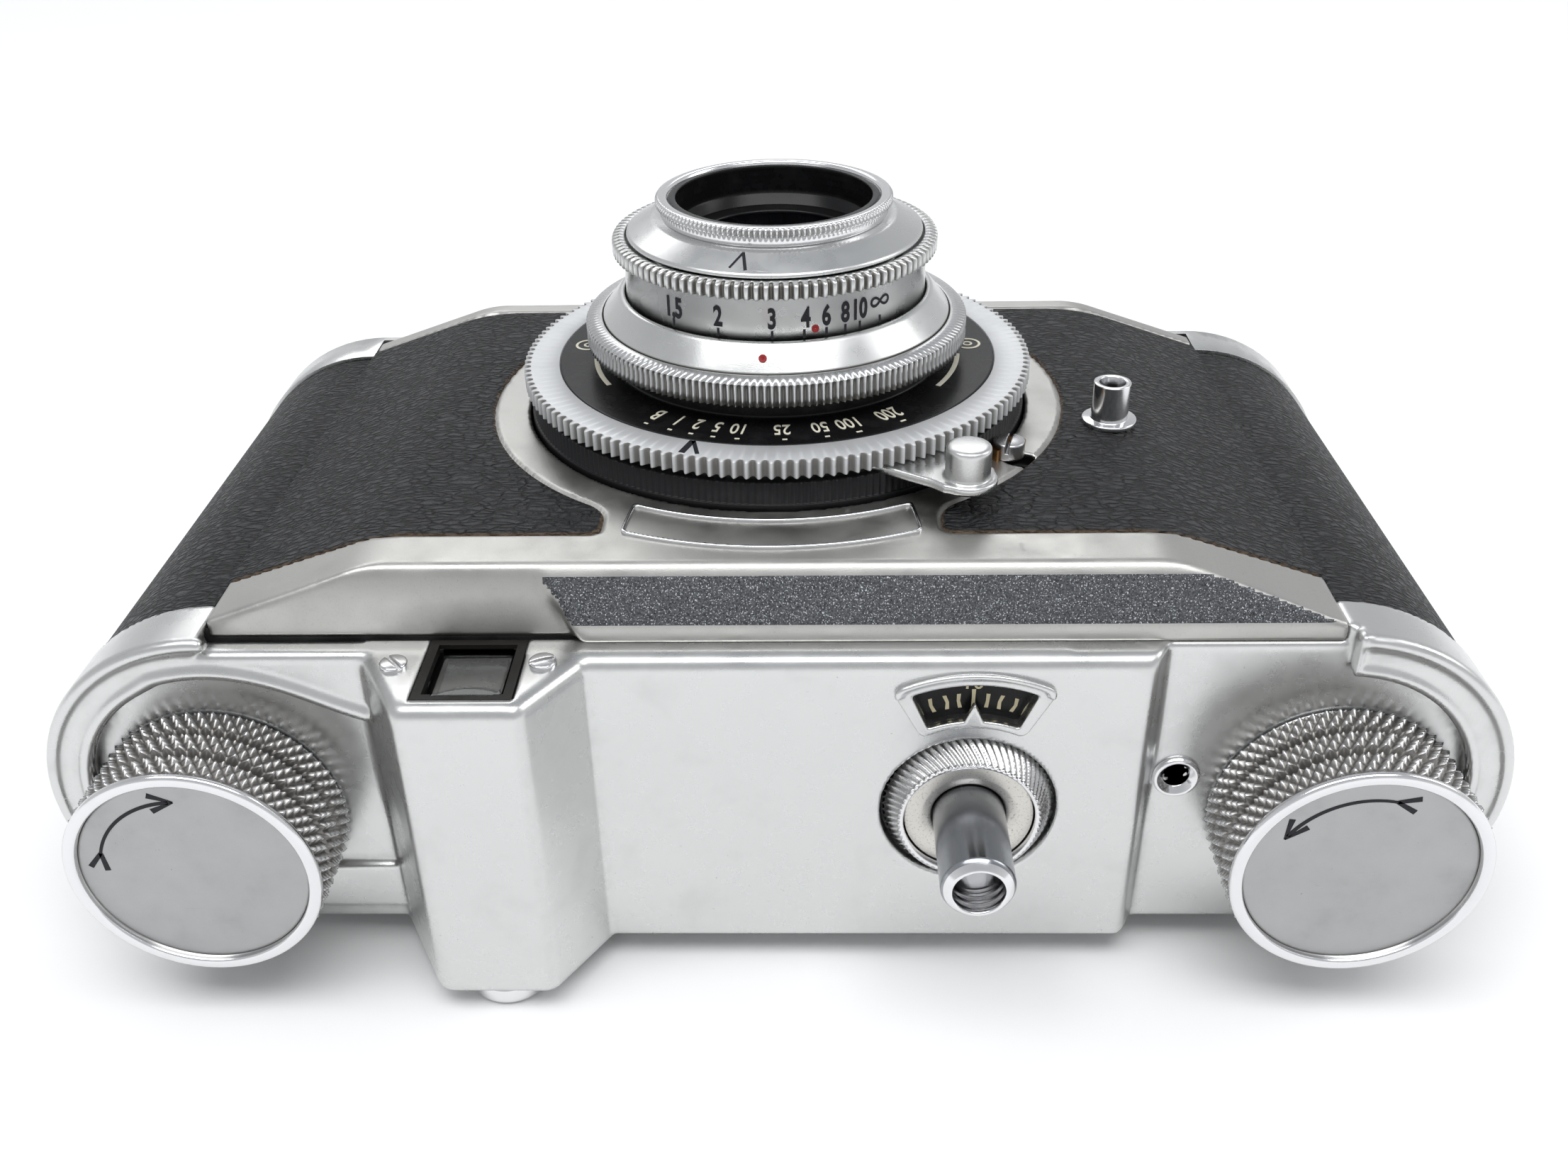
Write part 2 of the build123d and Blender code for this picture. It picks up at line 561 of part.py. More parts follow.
with BuildPart() as counter_bezel:
    with BuildSketch(RELEASE_DECK):
        sector(8.7, 14.0, 90, 28.4)
    extrude(amount=0.45)
    with BuildSketch(RELEASE_DECK):
        sector(9.4, 12.9, 90, 23)
    extrude(amount=0.45, mode=Mode.SUBTRACT)
save(counter_bezel.part, "counter_bezel")

COUNTER_RIM_R = MODULE * COUNTER_TEETH / 2 - 0.55
COUNTER_PHASE = direction(RELEASE_X, RELEASE_Z, SPROCKET_X, SPROCKET_Z)
with BuildPart() as counter_disc:
    ring_at(xz(COUNTER_Y + 0.5), RELEASE_X, RELEASE_Z, COUNTER_R, BUSH_R + RUN, 0.5)
    toothed_disc(xz(COUNTER_Y + 1.1), RELEASE_X, RELEASE_Z, COUNTER_TEETH, COUNTER_RIM_R, COUNTER_PHASE,
                 BUSH_R + RUN, 0.6, 0.3)
save(counter_disc.part, "counter_disc")

with BuildPart() as counter_ring:
    ring_at(xz(COUNTER_Y), RELEASE_X, RELEASE_Z, SET_RING_R, BUSH_R + RUN, 2.4)
    chamfer(counter_ring.edges().group_by(Axis.Y)[0].sort_by(SortBy.LENGTH)[-1], 0.9)
    ring_at(xz(COUNTER_Y - 1.8), RELEASE_X, RELEASE_Z, 5.4, 0, 2, Mode.SUBTRACT)
save(counter_ring.part, "counter_ring")

with BuildPart() as release_bush:
    ring_at(xz(CHASSIS_TOP_Y), RELEASE_X, RELEASE_Z, BUSH_R, RELEASE_R + RUN, 5.4)
save(release_bush.part, "release_bush")

PLUNGER_FOOT_Y = -33.6
with BuildPart() as release_plunger:
    ring_at(xz(PLUNGER_FOOT_Y), RELEASE_X, RELEASE_Z, RELEASE_R, 0, PLUNGER_FOOT_Y - RELEASE_TOP_Y)
    chamfer(release_plunger.edges().group_by(Axis.Y)[0], 0.5)
    ring_at(xz(RELEASE_TOP_Y + 7), RELEASE_X, RELEASE_Z, THREAD_R, 0, 8, Mode.SUBTRACT)
    ring_at(xz(-24.6), RELEASE_X, RELEASE_Z, 1.4, 0, PLUNGER_FOOT_Y - RELEASE_TOP_Y - 4.5)
save(release_plunger.part, "release_plunger")

SPRING_LOW_Y = -28.8
SPRING_R = 2.25
with BuildPart() as release_spring:
    with BuildLine() as coil:
        Helix(pitch=1.3, height=4.5, radius=SPRING_R, center=(RELEASE_X, SPRING_LOW_Y, RELEASE_Z),
              direction=(0, -1, 0))
    with BuildSketch(Plane(origin=coil.line @ 0, z_dir=coil.line % 0)):
        Circle(0.28)
    sweep()
save(release_spring.part, "release_spring")

with BuildPart() as side_bush:
    ring_at(xz(WELL_Y), SIDE_BUSH_X, SIDE_BUSH_Z, 2.0, 0, 0.5)
    ring_at(xz(WELL_Y + 1.0), SIDE_BUSH_X, SIDE_BUSH_Z, 1.45, 0, 1.2)
    ring_at(xz(WELL_Y + 2.0), SIDE_BUSH_X, SIDE_BUSH_Z, 1.1, 0, 4.0, Mode.SUBTRACT)
    chamfer(side_bush.edges().group_by(Axis.Y)[0].sort_by(SortBy.LENGTH)[0], 0.4)
save(side_bush.part, "side_bush")

# ---------------------------------------------------------------- front fittings
FLASH_TOP = 4.0
FLANGE_T = 0.45
with BuildPart() as flash_socket:
    with BuildSketch(front(-LEATHER_T)):
        with Locations((FLASH_X, FLASH_Y)):
            Circle(2.1)
    extrude(amount=LEATHER_T)
    with BuildSketch(front(0)):
        with Locations((FLASH_X, FLASH_Y)):
            Circle(2.5)
    extrude(amount=FLANGE_T)
    with BuildSketch(front(FLANGE_T)):
        with Locations((FLASH_X, FLASH_Y)):
            Circle(1.7)
    extrude(amount=FLASH_TOP - FLANGE_T)
    with BuildSketch(front(-LEATHER_T)):
        with Locations((FLASH_X, FLASH_Y)):
            Circle(1.2)
    extrude(amount=FLASH_TOP + LEATHER_T, mode=Mode.SUBTRACT)
save(flash_socket.part, "flash_socket")

with BuildPart() as flash_contact:
    with BuildSketch(front(-LEATHER_T)):
        with Locations((FLASH_X, FLASH_Y)):
            Circle(1.2)
    extrude(amount=LEATHER_T + 1.2)
    with BuildSketch(front(1.2)):
        with Locations((FLASH_X, FLASH_Y)):
            Circle(0.45)
    extrude(amount=2.0)
save(flash_contact.part, "flash_contact")

# ---------------------------------------------------------------- knobs and their shafts
CAP_RECESS_R = 8.9
for x, name in ((-KNOB_X, "rewind"), (KNOB_X, "advance")):
    with BuildPart() as knob:
        ring_at(xz(KNOB_BASE_Y), x, KNOB_Z, KNOB_R, 0, KNOB_BASE_Y - KNOB_TOP_Y)
        # two plain grooves between the three knurled bands
        for y in (-37.3, -40.1):
            ring_at(xz(y), x, KNOB_Z, KNOB_R + 1, KNOB_R - KNOB_GROOVE, 0.7, Mode.SUBTRACT)
        # recess of the cap disc, and the hollow underneath
        ring_at(xz(KNOB_TOP_Y + 0.7), x, KNOB_Z, CAP_RECESS_R, 0, 2, Mode.SUBTRACT)
        ring_at(xz(KNOB_BASE_Y), x, KNOB_Z, KNOB_R - 1.6, SHAFT_R + 2.0, 5.5, Mode.SUBTRACT)
        ring_at(xz(KNOB_BASE_Y), x, KNOB_Z, SHAFT_R, 0, 6.5, Mode.SUBTRACT)
    save(knob.part, f"{name}_knob")

    with BuildPart() as cap:
        ring_at(xz(KNOB_TOP_Y + 0.7), x, KNOB_Z, CAP_RECESS_R - RUN, 0, 0.4)
    save(cap.part, f"{name}_cap")

with BuildPart() as rewind_sleeve:
    ring_at(xz(-25.0), -KNOB_X, KNOB_Z, 2.5, SHAFT_R + RUN, 9.0)
    ring_at(xz(-34.0), -KNOB_X, KNOB_Z, 3.1, SHAFT_R + RUN, 1.0)
save(rewind_sleeve.part, "rewind_sleeve")

FORK_Y = -18.2
with BuildPart() as rewind_shaft:
    ring_at(xz(-22.0), -KNOB_X, KNOB_Z, SHAFT_R, 0, 19.5)
    box((-KNOB_X - 1.9, -KNOB_X + 1.9), (-22.5, FORK_Y), (KNOB_Z - 0.6, KNOB_Z + 0.6))
save(rewind_shaft.part, "rewind_shaft")

with BuildPart() as advance_shaft:
    ring_at(xz(-24.2), KNOB_X, KNOB_Z, SHAFT_R, 0, 17.2)
    ring_at(xz(CHAMBER_BASE_Y + 1.0), KNOB_X, KNOB_Z, 1.5, 0, 48.0)
    toothed_disc(xz(GEAR_TOP_Y + GEAR_H), KNOB_X, KNOB_Z, ADVANCE_TEETH, ADVANCE_GEAR_R, ADVANCE_PHASE, 0, GEAR_H)
save(advance_shaft.part, "advance_shaft")

with BuildPart() as takeup_spool:
    ring_at(xz(20.5), KNOB_X, KNOB_Z, 5.0, 1.5, 43.0)
    ring_at(xz(19.5), KNOB_X, KNOB_Z, 10.5, 4.0, 1.0)
    ring_at(xz(-18.5), KNOB_X, KNOB_Z, 10.5, 4.0, 1.0)
    # slot that takes the film's tongue
    box((KNOB_X - 6, KNOB_X - 1.8), (-8, 8), (KNOB_Z - 0.5, KNOB_Z + 0.5), Mode.SUBTRACT)
save(takeup_spool.part, "takeup_spool")

with BuildPart() as idler_gear:
    toothed_disc(xz(GEAR_TOP_Y + GEAR_H), IDLER_X, IDLER_Z, IDLER_TEETH, IDLER_R, IDLER_PHASE, 1.2 + RUN, GEAR_H)
save(idler_gear.part, "idler_gear")

with BuildPart() as sprocket:
    ring_at(xz(17.5), SPROCKET_X, SPROCKET_Z, 4.5, 0, 35.0)
    ring_at(xz(19.3), SPROCKET_X, SPROCKET_Z, 1.5, 0, 54.6)
    for y in (17.5, -12.0):
        ring_at(xz(y), SPROCKET_X, SPROCKET_Z, SPROCKET_R, 0, 5.5)
        # eight teeth that fit the film's holes
        with BuildSketch(Plane(origin=(SPROCKET_X, y - 2.1, SPROCKET_Z), x_dir=(1, 0, 0), z_dir=(0, -1, 0))) as teeth:
            with PolarLocations(SPROCKET_R, 8):
                Rectangle(1.5, 1.2)
        extrude(teeth.sketch, amount=1.3)
    toothed_disc(xz(GEAR_TOP_Y + GEAR_H), SPROCKET_X, SPROCKET_Z, SPROCKET_TEETH, SPROCKET_GEAR_R,
                 SPROCKET_PHASE, 0, GEAR_H)
    # single tooth that moves the counter on by one
    with BuildSketch(Plane(origin=(SPROCKET_X, -35.15, SPROCKET_Z), x_dir=(1, 0, 0), z_dir=(0, -1, 0))):
        Circle(1.4)
        with Locations((1.1 * cos(radians(COUNTER_PHASE)), 1.1 * sin(radians(COUNTER_PHASE)))):
            Rectangle(2.2, 0.5, rotation=COUNTER_PHASE)
    extrude(amount=0.4)
save(sprocket.part, "sprocket")

# ---------------------------------------------------------------- shutter
WALL_TOP = 1.9
SPIGOT_TOP = 4.25
BLADE_FLOOR = -4.3
with BuildPart() as shutter_housing:
    ring(Plane.XY.offset(CHASSIS_FRONT_Z), HOUSING_R, BLADE_PORT_R + 1, FRONT_Z + BLADE_FLOOR - CHASSIS_FRONT_Z)
    ring(Plane.XY.offset(CHASSIS_FRONT_Z), HOUSING_R, 19.4, FRONT_Z + WALL_TOP - CHASSIS_FRONT_Z)
    ring(front(WALL_TOP), SPIGOT_R, 19.4, SPIGOT_TOP - WALL_TOP)
    # pivots of the blades
    with BuildSketch(front(BLADE_FLOOR)):
        with PolarLocations(BLADE_PIVOT_R, BLADE_COUNT):
            Circle(0.6)
    extrude(amount=2.6)
save(shutter_housing.part, "shutter_housing")

with BuildPart() as shutter_face:
    # scale plate, flush with the speed ring, and the socket of the lens
    ring(front(SPIGOT_TOP), 20.6, BARREL_FOOT_R + 0.15, SPEED_TOP - SPIGOT_TOP)
    ring(front(SPIGOT_TOP - 1.1), 19.35, BARREL_FOOT_R + 0.15, 1.1)
    ring(front(SPIGOT_TOP - 1.1), BARREL_FOOT_R + 1, CELL_R + 0.3, 0.8)
    ring(front(SPEED_TOP), COLLAR_R, BARREL_FOOT_R + 0.15, 1.9)
save(shutter_face.part, "shutter_face")

with BuildPart() as speed_ring:
    ring(front(SPEED_BASE), SPEED_R, SPIGOT_R + RUN, SPEED_TOP - SPEED_BASE)
    ring(front(SPIGOT_TOP - 0.05), 20.65, 0, 1, Mode.SUBTRACT)
save(speed_ring.part, "speed_ring")

LEVER_PLANE = Plane(origin=(0, 0, FRONT_Z + LEVER_BASE), x_dir=(cos(radians(LEVER_ANGLE)), sin(radians(LEVER_ANGLE)), 0),
                    z_dir=(0, 0, 1))
with BuildPart() as cocking_lever:
    with BuildSketch(LEVER_PLANE):
        Circle(22.2)
        with BuildSketch(mode=Mode.PRIVATE) as arm:
            with Locations((LEVER_R, 0)):
                Circle(2.5)
            with Locations((20.5, 4.2), (20.5, -4.2)):
                Circle(1.2)
        make_hull(arm.edges())
        Circle(SPIGOT_R + RUN, mode=Mode.SUBTRACT)
    extrude(amount=LEVER_T)
    # round button
    with BuildSketch(LEVER_PLANE.offset(LEVER_T)):
        with Locations((LEVER_R, 0)):
            Circle(1.9)
    extrude(amount=2.9)
save(cocking_lever.part, "cocking_lever")

with BuildPart() as sync_arm:
    with BuildSketch(front(0)):
        sector(HOUSING_R + 0.3, 26.2, -36, 8)
    extrude(amount=0.7)
    with BuildSketch(front(0.7)):
        with Locations((25.0 * cos(radians(-35.5)), 25.0 * sin(radians(-35.5)))):
            Circle(1.15)
    extrude(amount=0.9)
save(sync_arm.part, "sync_arm")

with BuildPart() as blade_ring:
    ring(front(-1.3), 19.3, 13.5, 0.7)
    with BuildSketch(front(-1.3)):
        with PolarLocations(16.4, BLADE_COUNT, start_angle=60):
            Circle(0.8)
    extrude(amount=-1.0)
save(blade_ring.part, "blade_ring")

# each blade covers a third of the port and swings out about its pivot
COVER_START = -15.5
COVER_SPAN = 126
BLADE_OUT_R = 9.7
for i in range(BLADE_COUNT):
    turn = i * 360 / BLADE_COUNT
    with BuildPart() as shutter_blade:
        with BuildSketch(front(BLADE_FLOOR + 0.2 + 0.5 * i).rotated((0, 0, turn))):
            a = radians(COVER_START)
            b = radians(COVER_START - COVER_SPAN / 2)
            c = radians(COVER_START - COVER_SPAN)
            with BuildLine():
                Polyline((BLADE_OUT_R * cos(c), BLADE_OUT_R * sin(c)), (-0.35, 0.15), (11 * cos(a), 11 * sin(a)),
                         (BLADE_PIVOT_R - 1.0, 1.1), (BLADE_PIVOT_R + 1.1, 0.9), (BLADE_PIVOT_R + 0.9, -1.3),
                         (BLADE_OUT_R * 1.25 * cos(a - 0.4), BLADE_OUT_R * 1.25 * sin(a - 0.4)),
                         (BLADE_OUT_R * cos(a - 0.75), BLADE_OUT_R * sin(a - 0.75)))
                ThreePointArc((BLADE_OUT_R * cos(a - 0.75), BLADE_OUT_R * sin(a - 0.75)),
                              (BLADE_OUT_R * cos(b - 0.3), BLADE_OUT_R * sin(b - 0.3)),
                              (BLADE_OUT_R * cos(c), BLADE_OUT_R * sin(c)))
            make_face()
            with Locations((BLADE_PIVOT_R, 0)):
                Circle(1.7)
                Circle(0.6 + RUN, mode=Mode.SUBTRACT)
        extrude(amount=0.25)
    save(shutter_blade.part, f"shutter_blade_{i + 1}")

# ---------------------------------------------------------------- lens
def turned(points):
    """Solid of revolution about the lens axis from (radius, height above the casting) points."""
    with BuildSketch(Plane.XZ) as profile:
        with BuildLine():
            Polyline(*[(r, FRONT_Z + h) for r, h in points], close=True)
        make_face()
    revolve(profile.sketch, axis=Axis.Z)


CELL_BORE = CELL_R + RUN
FOOT_Z = 3.97
TUBE_TOP = 15.2
with BuildPart() as lens_barrel:
    turned([(CELL_BORE, FOOT_Z), (BARREL_FOOT_R, FOOT_Z), (BARREL_FOOT_R, CLAMP_TOP + RUN), (CONE_R, CLAMP_TOP + RUN),
            (14.45, CONE_TOP), (SCALE_R + 0.1, CONE_TOP), (SCALE_R + 0.1, 9.6), (BARREL_R, 9.6),
            (BARREL_R, TUBE_TOP), (CELL_BORE, TUBE_TOP)])
save(lens_barrel.part, "lens_barrel")

with BuildPart() as clamp_ring:
    turned([(BARREL_FOOT_R + RUN, CLAMP_BASE), (CLAMP_R, CLAMP_BASE), (CLAMP_R, CLAMP_EDGE), (CONE_R + 0.1, CLAMP_TOP),
            (BARREL_FOOT_R + RUN, CLAMP_TOP)])
save(clamp_ring.part, "clamp_ring")

with BuildPart() as focus_ring:
    turned([(BARREL_R + RUN, 9.65), (SCALE_R, 9.65), (SCALE_R, 14.8), (FOCUS_R, 14.8), (FOCUS_R, FOCUS_TOP),
            (13.7, FOCUS_TOP), (13.7, 15.25), (BARREL_R + RUN, 15.25)])
save(focus_ring.part, "focus_ring")

IRIS_FLOOR = 6.2
with BuildPart() as lens_cell:
    turned([(CELL_R, 5.0), (CELL_R, 16.42), (13.55, 16.42), (13.55, 16.75), (11.2, 18.0), (9.6, 18.0), (9.6, 19.6),
            (FILTER_R, 19.6), (FILTER_R, 16.9), (8.6, 16.9), (8.6, 15.5), (8.2, 15.5), (8.2, 10.2), (9.4, 10.2),
            (9.4, IRIS_FLOOR), (6.5, IRIS_FLOOR), (6.5, 5.0)])
    # pivots of the iris blades
    with BuildSketch(front(IRIS_FLOOR)):
        with PolarLocations(8.3, IRIS_COUNT):
            Circle(0.4)
    extrude(amount=3.0)
save(lens_cell.part, "lens_cell")

with BuildPart() as aperture_ring:
    ring(front(18.0 + RUN), RIM_R, 9.6 + RUN, RIM_TOP - 18.0 - RUN)
save(aperture_ring.part, "aperture_ring")

with BuildPart() as retaining_ring:
    turned([(8.6, 15.5), (8.6, 16.0), (7.2, 15.8), (7.2, 15.5)])
save(retaining_ring.part, "retaining_ring")

LENS_R = 8.15
LENS_EDGE = 13.4
LENS_DOME = 1.5
dome_r = (LENS_R ** 2 + LENS_DOME ** 2) / (2 * LENS_DOME)
with BuildPart() as front_lens:
    ring(front(11.5), LENS_R, 0, LENS_EDGE - 11.5 + LENS_DOME)
    # the front face is part of a sphere
    with Locations((0, 0, FRONT_Z + LENS_EDGE + LENS_DOME - dome_r)):
        Sphere(dome_r, mode=Mode.INTERSECT)
save(front_lens.part, "front_lens")

with BuildPart() as rear_lens:
    ring(front(5.1), 6.45, 0, 1.0)
save(rear_lens.part, "rear_lens")

IRIS_SPAN = 112
for i in range(IRIS_COUNT):
    turn = i * 360 / IRIS_COUNT
    with BuildPart() as iris_blade:
        with BuildSketch(front(IRIS_FLOOR + 0.25 + 0.5 * i).rotated((0, 0, turn))):
            sector(IRIS_OPEN_R + 0.1, 7.6, IRIS_SPAN / 2 - 6, IRIS_SPAN / 2)
            with Locations((8.3, 0)):
                Circle(1.0)
                Circle(0.4 + RUN, mode=Mode.SUBTRACT)
        extrude(amount=0.2)
    save(iris_blade.part, f"iris_blade_{i + 1}")

# ---------------------------------------------------------------- removable back and base
def back_outline(radius, flat_z, whole=False):
    """Section of the back in X-Z up to the split, or of the whole body with its round front half."""
    half = radius * sqrt(0.5)
    low = BACK_ARC_Z - radius
    top = SPLIT_Z if whole else SPLIT_Z - RUN
    with BuildLine() as outline:
        for side in (-1, 1):
            Line((side * (END_X + radius), top), (side * (END_X + radius), BACK_ARC_Z))
            ThreePointArc((side * (END_X + radius), BACK_ARC_Z), (side * (END_X + half), BACK_ARC_Z - half),
                          (side * END_X, low))
            Line((side * END_X, low), (side * BACK_FLAT_HALF, flat_z))
            if whole:
                ThreePointArc((side * (END_X + radius), top), (side * (END_X + half), top + half),
                              (side * END_X, top + radius))
        Line((-BACK_FLAT_HALF, flat_z), (BACK_FLAT_HALF, flat_z))
        if whole:
            Line((-END_X, top + radius), (END_X, top + radius))
        else:
            Line((-END_X - radius, top), (END_X + radius, top))
    make_face(outline.edges())


BASE_IN_Y = BASE_Y - BASE_PLATE_T
with BuildPart() as back_shell:
    with BuildSketch(xz(BASE_IN_Y)):
        back_outline(BACK_METAL_R, LEATHER_T)
        with BuildSketch(mode=Mode.PRIVATE) as inside:
            back_outline(BACK_METAL_R - BACK_T, LEATHER_T + BACK_T)
        add(inside.sketch, mode=Mode.SUBTRACT)
    extrude(amount=BASE_IN_Y - TOP_SKIRT_Y - RUN)
save(back_shell.part, "back_shell")

with BuildPart() as back_leather:
    with BuildSketch(xz(BASE_SKIRT_Y - RUN)):
        back_outline(LEATHER_R, 0)
        with BuildSketch(mode=Mode.PRIVATE) as inside:
            back_outline(BACK_METAL_R, LEATHER_T)
        add(inside.sketch, mode=Mode.SUBTRACT)
    extrude(amount=BASE_SKIRT_Y - TOP_SKIRT_Y - 2 * RUN)
save(back_leather.part, "back_leather")

with BuildPart() as base_cover:
    with BuildSketch(xz(BASE_Y)):
        back_outline(COVER_R, 0, whole=True)
    extrude(amount=BASE_Y - BASE_SKIRT_Y)
    with BuildSketch(xz(BASE_IN_Y)):
        back_outline(BACK_METAL_R, LEATHER_T, whole=True)
    extrude(amount=BASE_IN_Y - BASE_SKIRT_Y, mode=Mode.SUBTRACT)
    # the casting stands in front of the skirt
    box((-END_X - RUN, END_X + RUN), (BASE_SKIRT_Y - 1, BASE_IN_Y), (SEAM_Z - 0.5, FRONT_Z), Mode.SUBTRACT)
    for x in (-KEY_X, KEY_X):
        ring_at(xz(BASE_Y + 1), x, BUSH_Z, KEY_R + 0.1, 0, 3, Mode.SUBTRACT)
    ring_at(xz(BASE_Y + 1), 0, BUSH_Z, TRIPOD_BUSH_R, 0, 3, Mode.SUBTRACT)
save(base_cover.part, "base_cover")

with BuildPart() as tripod_bush:
    ring_at(xz(BASE_Y), 0, BUSH_Z, TRIPOD_BUSH_R, 0, 6.5)
    ring_at(xz(BASE_Y + 1), 0, BUSH_Z, TRIPOD_R, 0, 6.5, Mode.SUBTRACT)
save(tripod_bush.part, "tripod_bush")

for i, x in enumerate((-KEY_X, KEY_X)):
    with BuildPart() as lock_key:
        ring_at(xz(BASE_Y - 0.05), x, BUSH_Z, KEY_R, 0, BASE_PLATE_T)
        # grip bar between two hollows
        with BuildSketch(xz(BASE_Y)):
            with Locations((x, BUSH_Z + 2.6), (x, BUSH_Z - 2.6)):
                Rectangle(8.0, 3.2)
        extrude(amount=0.5, mode=Mode.SUBTRACT)
        # latch bar behind the plate
        box((x - 1.2, x + 1.2), (CHASSIS_BASE_Y + 0.15, BASE_IN_Y - 0.05), (BUSH_Z - 7.5, BUSH_Z + 7.5))
    save(lock_key.part, f"lock_key_{i + 1}")

with BuildPart() as pressure_plate:
    box((-22.0, 18.5), (-16.5, 16.5), (2.5, 3.6))
    # spring feet on the back
    for x in (-17.0, 13.0):
        for y in (-12.0, 12.0):
            box((x - 2.5, x + 2.5), (y - 1.0, y + 1.0), (LEATHER_T + BACK_T, 2.5))
save(pressure_plate.part, "pressure_plate")
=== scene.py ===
"""Looks of the viewfinder camera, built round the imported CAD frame. Shapes are worked out in mm."""
import math

import bpy
import numpy as np
from mathutils import Matrix, Vector


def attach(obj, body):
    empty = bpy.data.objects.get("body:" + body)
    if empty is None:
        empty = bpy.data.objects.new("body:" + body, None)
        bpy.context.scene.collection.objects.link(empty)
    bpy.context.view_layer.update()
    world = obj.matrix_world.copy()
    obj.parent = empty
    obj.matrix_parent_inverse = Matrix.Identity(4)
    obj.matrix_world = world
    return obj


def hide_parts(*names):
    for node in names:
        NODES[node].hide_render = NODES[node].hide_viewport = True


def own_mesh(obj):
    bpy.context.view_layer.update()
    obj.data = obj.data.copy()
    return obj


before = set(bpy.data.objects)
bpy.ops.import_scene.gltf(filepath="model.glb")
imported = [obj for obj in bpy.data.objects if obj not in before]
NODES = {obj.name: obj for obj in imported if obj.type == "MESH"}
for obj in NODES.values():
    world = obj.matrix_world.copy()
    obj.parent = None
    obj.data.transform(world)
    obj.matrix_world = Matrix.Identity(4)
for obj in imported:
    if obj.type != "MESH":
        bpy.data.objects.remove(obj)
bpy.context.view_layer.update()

MM = 0.001
TAU = 2 * math.pi

# ---- dimensions, mm, as in the CAD
FRONT = 38.2
END_X, END_Z = 45.5, 18.1
COVER_R, CHASSIS_R, WELL_R = 15.55, 14.9, 12.2
SEAM_Z = 32.2
LIP_Y, SKIRT_Y, CAST_FAR_Y = -34.8, -31.0, 24.3
HOUSING_R, DISC_R = 23.6, 27.2
KNOB_X, KNOB_Z = 47.0, 15.6
KNOB_BASE, KNOB_TOP, CAP_TOP = 35.1, 43.8, 43.26
RELEASE_X, RELEASE_Z = 16.2, 17.0
BUSH_X, BUSH_Z = 33.7, 18.8
FLASH_X, FLASH_Y = 30.9, -7.0
FINDER_X, EYE_Y, FINDER_TOP_Y = -23.35, -39.5, -43.6
WELL_Y, LEDGE_Y, DECK_Y, COUNTER_Y = -34.9, -36.2, -37.2, -36.2
SCALE_R = 13.9
LEVER = math.radians(-54.8)
LEVER_R = 28.2


# ---- materials
def nodes_of(name):
    mat = bpy.data.materials.new(name)
    mat.use_nodes = True
    tree = mat.node_tree
    return mat, tree, tree.nodes["Principled BSDF"]


class Graph:
    """Short names for the shader nodes that the materials share."""

    def __init__(self, tree):
        self.tree = tree
        self.coord = tree.nodes.new("ShaderNodeTexCoord").outputs["Object"]
        self.mm = self.scaled(self.coord, 1000)

    def link(self, a, b):
        self.tree.links.new(a, b)

    def scaled(self, vector, by):
        n = self.tree.nodes.new("ShaderNodeVectorMath")
        n.operation = "MULTIPLY"
        self.link(vector, n.inputs[0])
        n.inputs[1].default_value = (by, by, by) if isinstance(by, (int, float)) else by
        return n.outputs[0]

    def noise(self, vector, scale, detail=2.0, rough=0.5, distort=0.0, out=0):
        n = self.tree.nodes.new("ShaderNodeTexNoise")
        self.link(vector, n.inputs["Vector"])
        n.inputs["Scale"].default_value = scale
        n.inputs["Detail"].default_value = detail
        n.inputs["Roughness"].default_value = rough
        n.inputs["Distortion"].default_value = distort
        return n.outputs[out]

    def cells(self, vector, scale):
        """Distance to the nearest edge between cells."""
        n = self.tree.nodes.new("ShaderNodeTexVoronoi")
        n.feature = "DISTANCE_TO_EDGE"
        self.link(vector, n.inputs["Vector"])
        n.inputs["Scale"].default_value = scale
        return n.outputs["Distance"]

    def ramp(self, value, lo, hi, to_lo=0.0, to_hi=1.0):
        n = self.tree.nodes.new("ShaderNodeMapRange")
        self.link(value, n.inputs["Value"])
        for key, x in (("From Min", lo), ("From Max", hi), ("To Min", to_lo), ("To Max", to_hi)):
            n.inputs[key].default_value = x
        return n.outputs[0]

    def math(self, op, a, b):
        n = self.tree.nodes.new("ShaderNodeMath")
        n.operation = op
        for socket, x in zip(n.inputs, (a, b)):
            if isinstance(x, (int, float)):
                socket.default_value = x
            else:
                self.link(x, socket)
        return n.outputs[0]

    def mix(self, factor, a, b):
        n = self.tree.nodes.new("ShaderNodeMix")
        n.data_type = "RGBA"
        self.link(factor, n.inputs["Factor"])
        for key, x in ((6, a), (7, b)):
            if isinstance(x, tuple):
                n.inputs[key].default_value = (*x, 1)
            else:
                self.link(x, n.inputs[key])
        return n.outputs[2]

    def attribute(self, name):
        n = self.tree.nodes.new("ShaderNodeAttribute")
        n.attribute_name = name
        return n.outputs["Fac"]

    def bump(self, height, strength, distance):
        n = self.tree.nodes.new("ShaderNodeBump")
        n.inputs["Strength"].default_value = strength
        n.inputs["Distance"].default_value = distance
        self.link(height, n.inputs["Height"])
        return n.outputs[0]


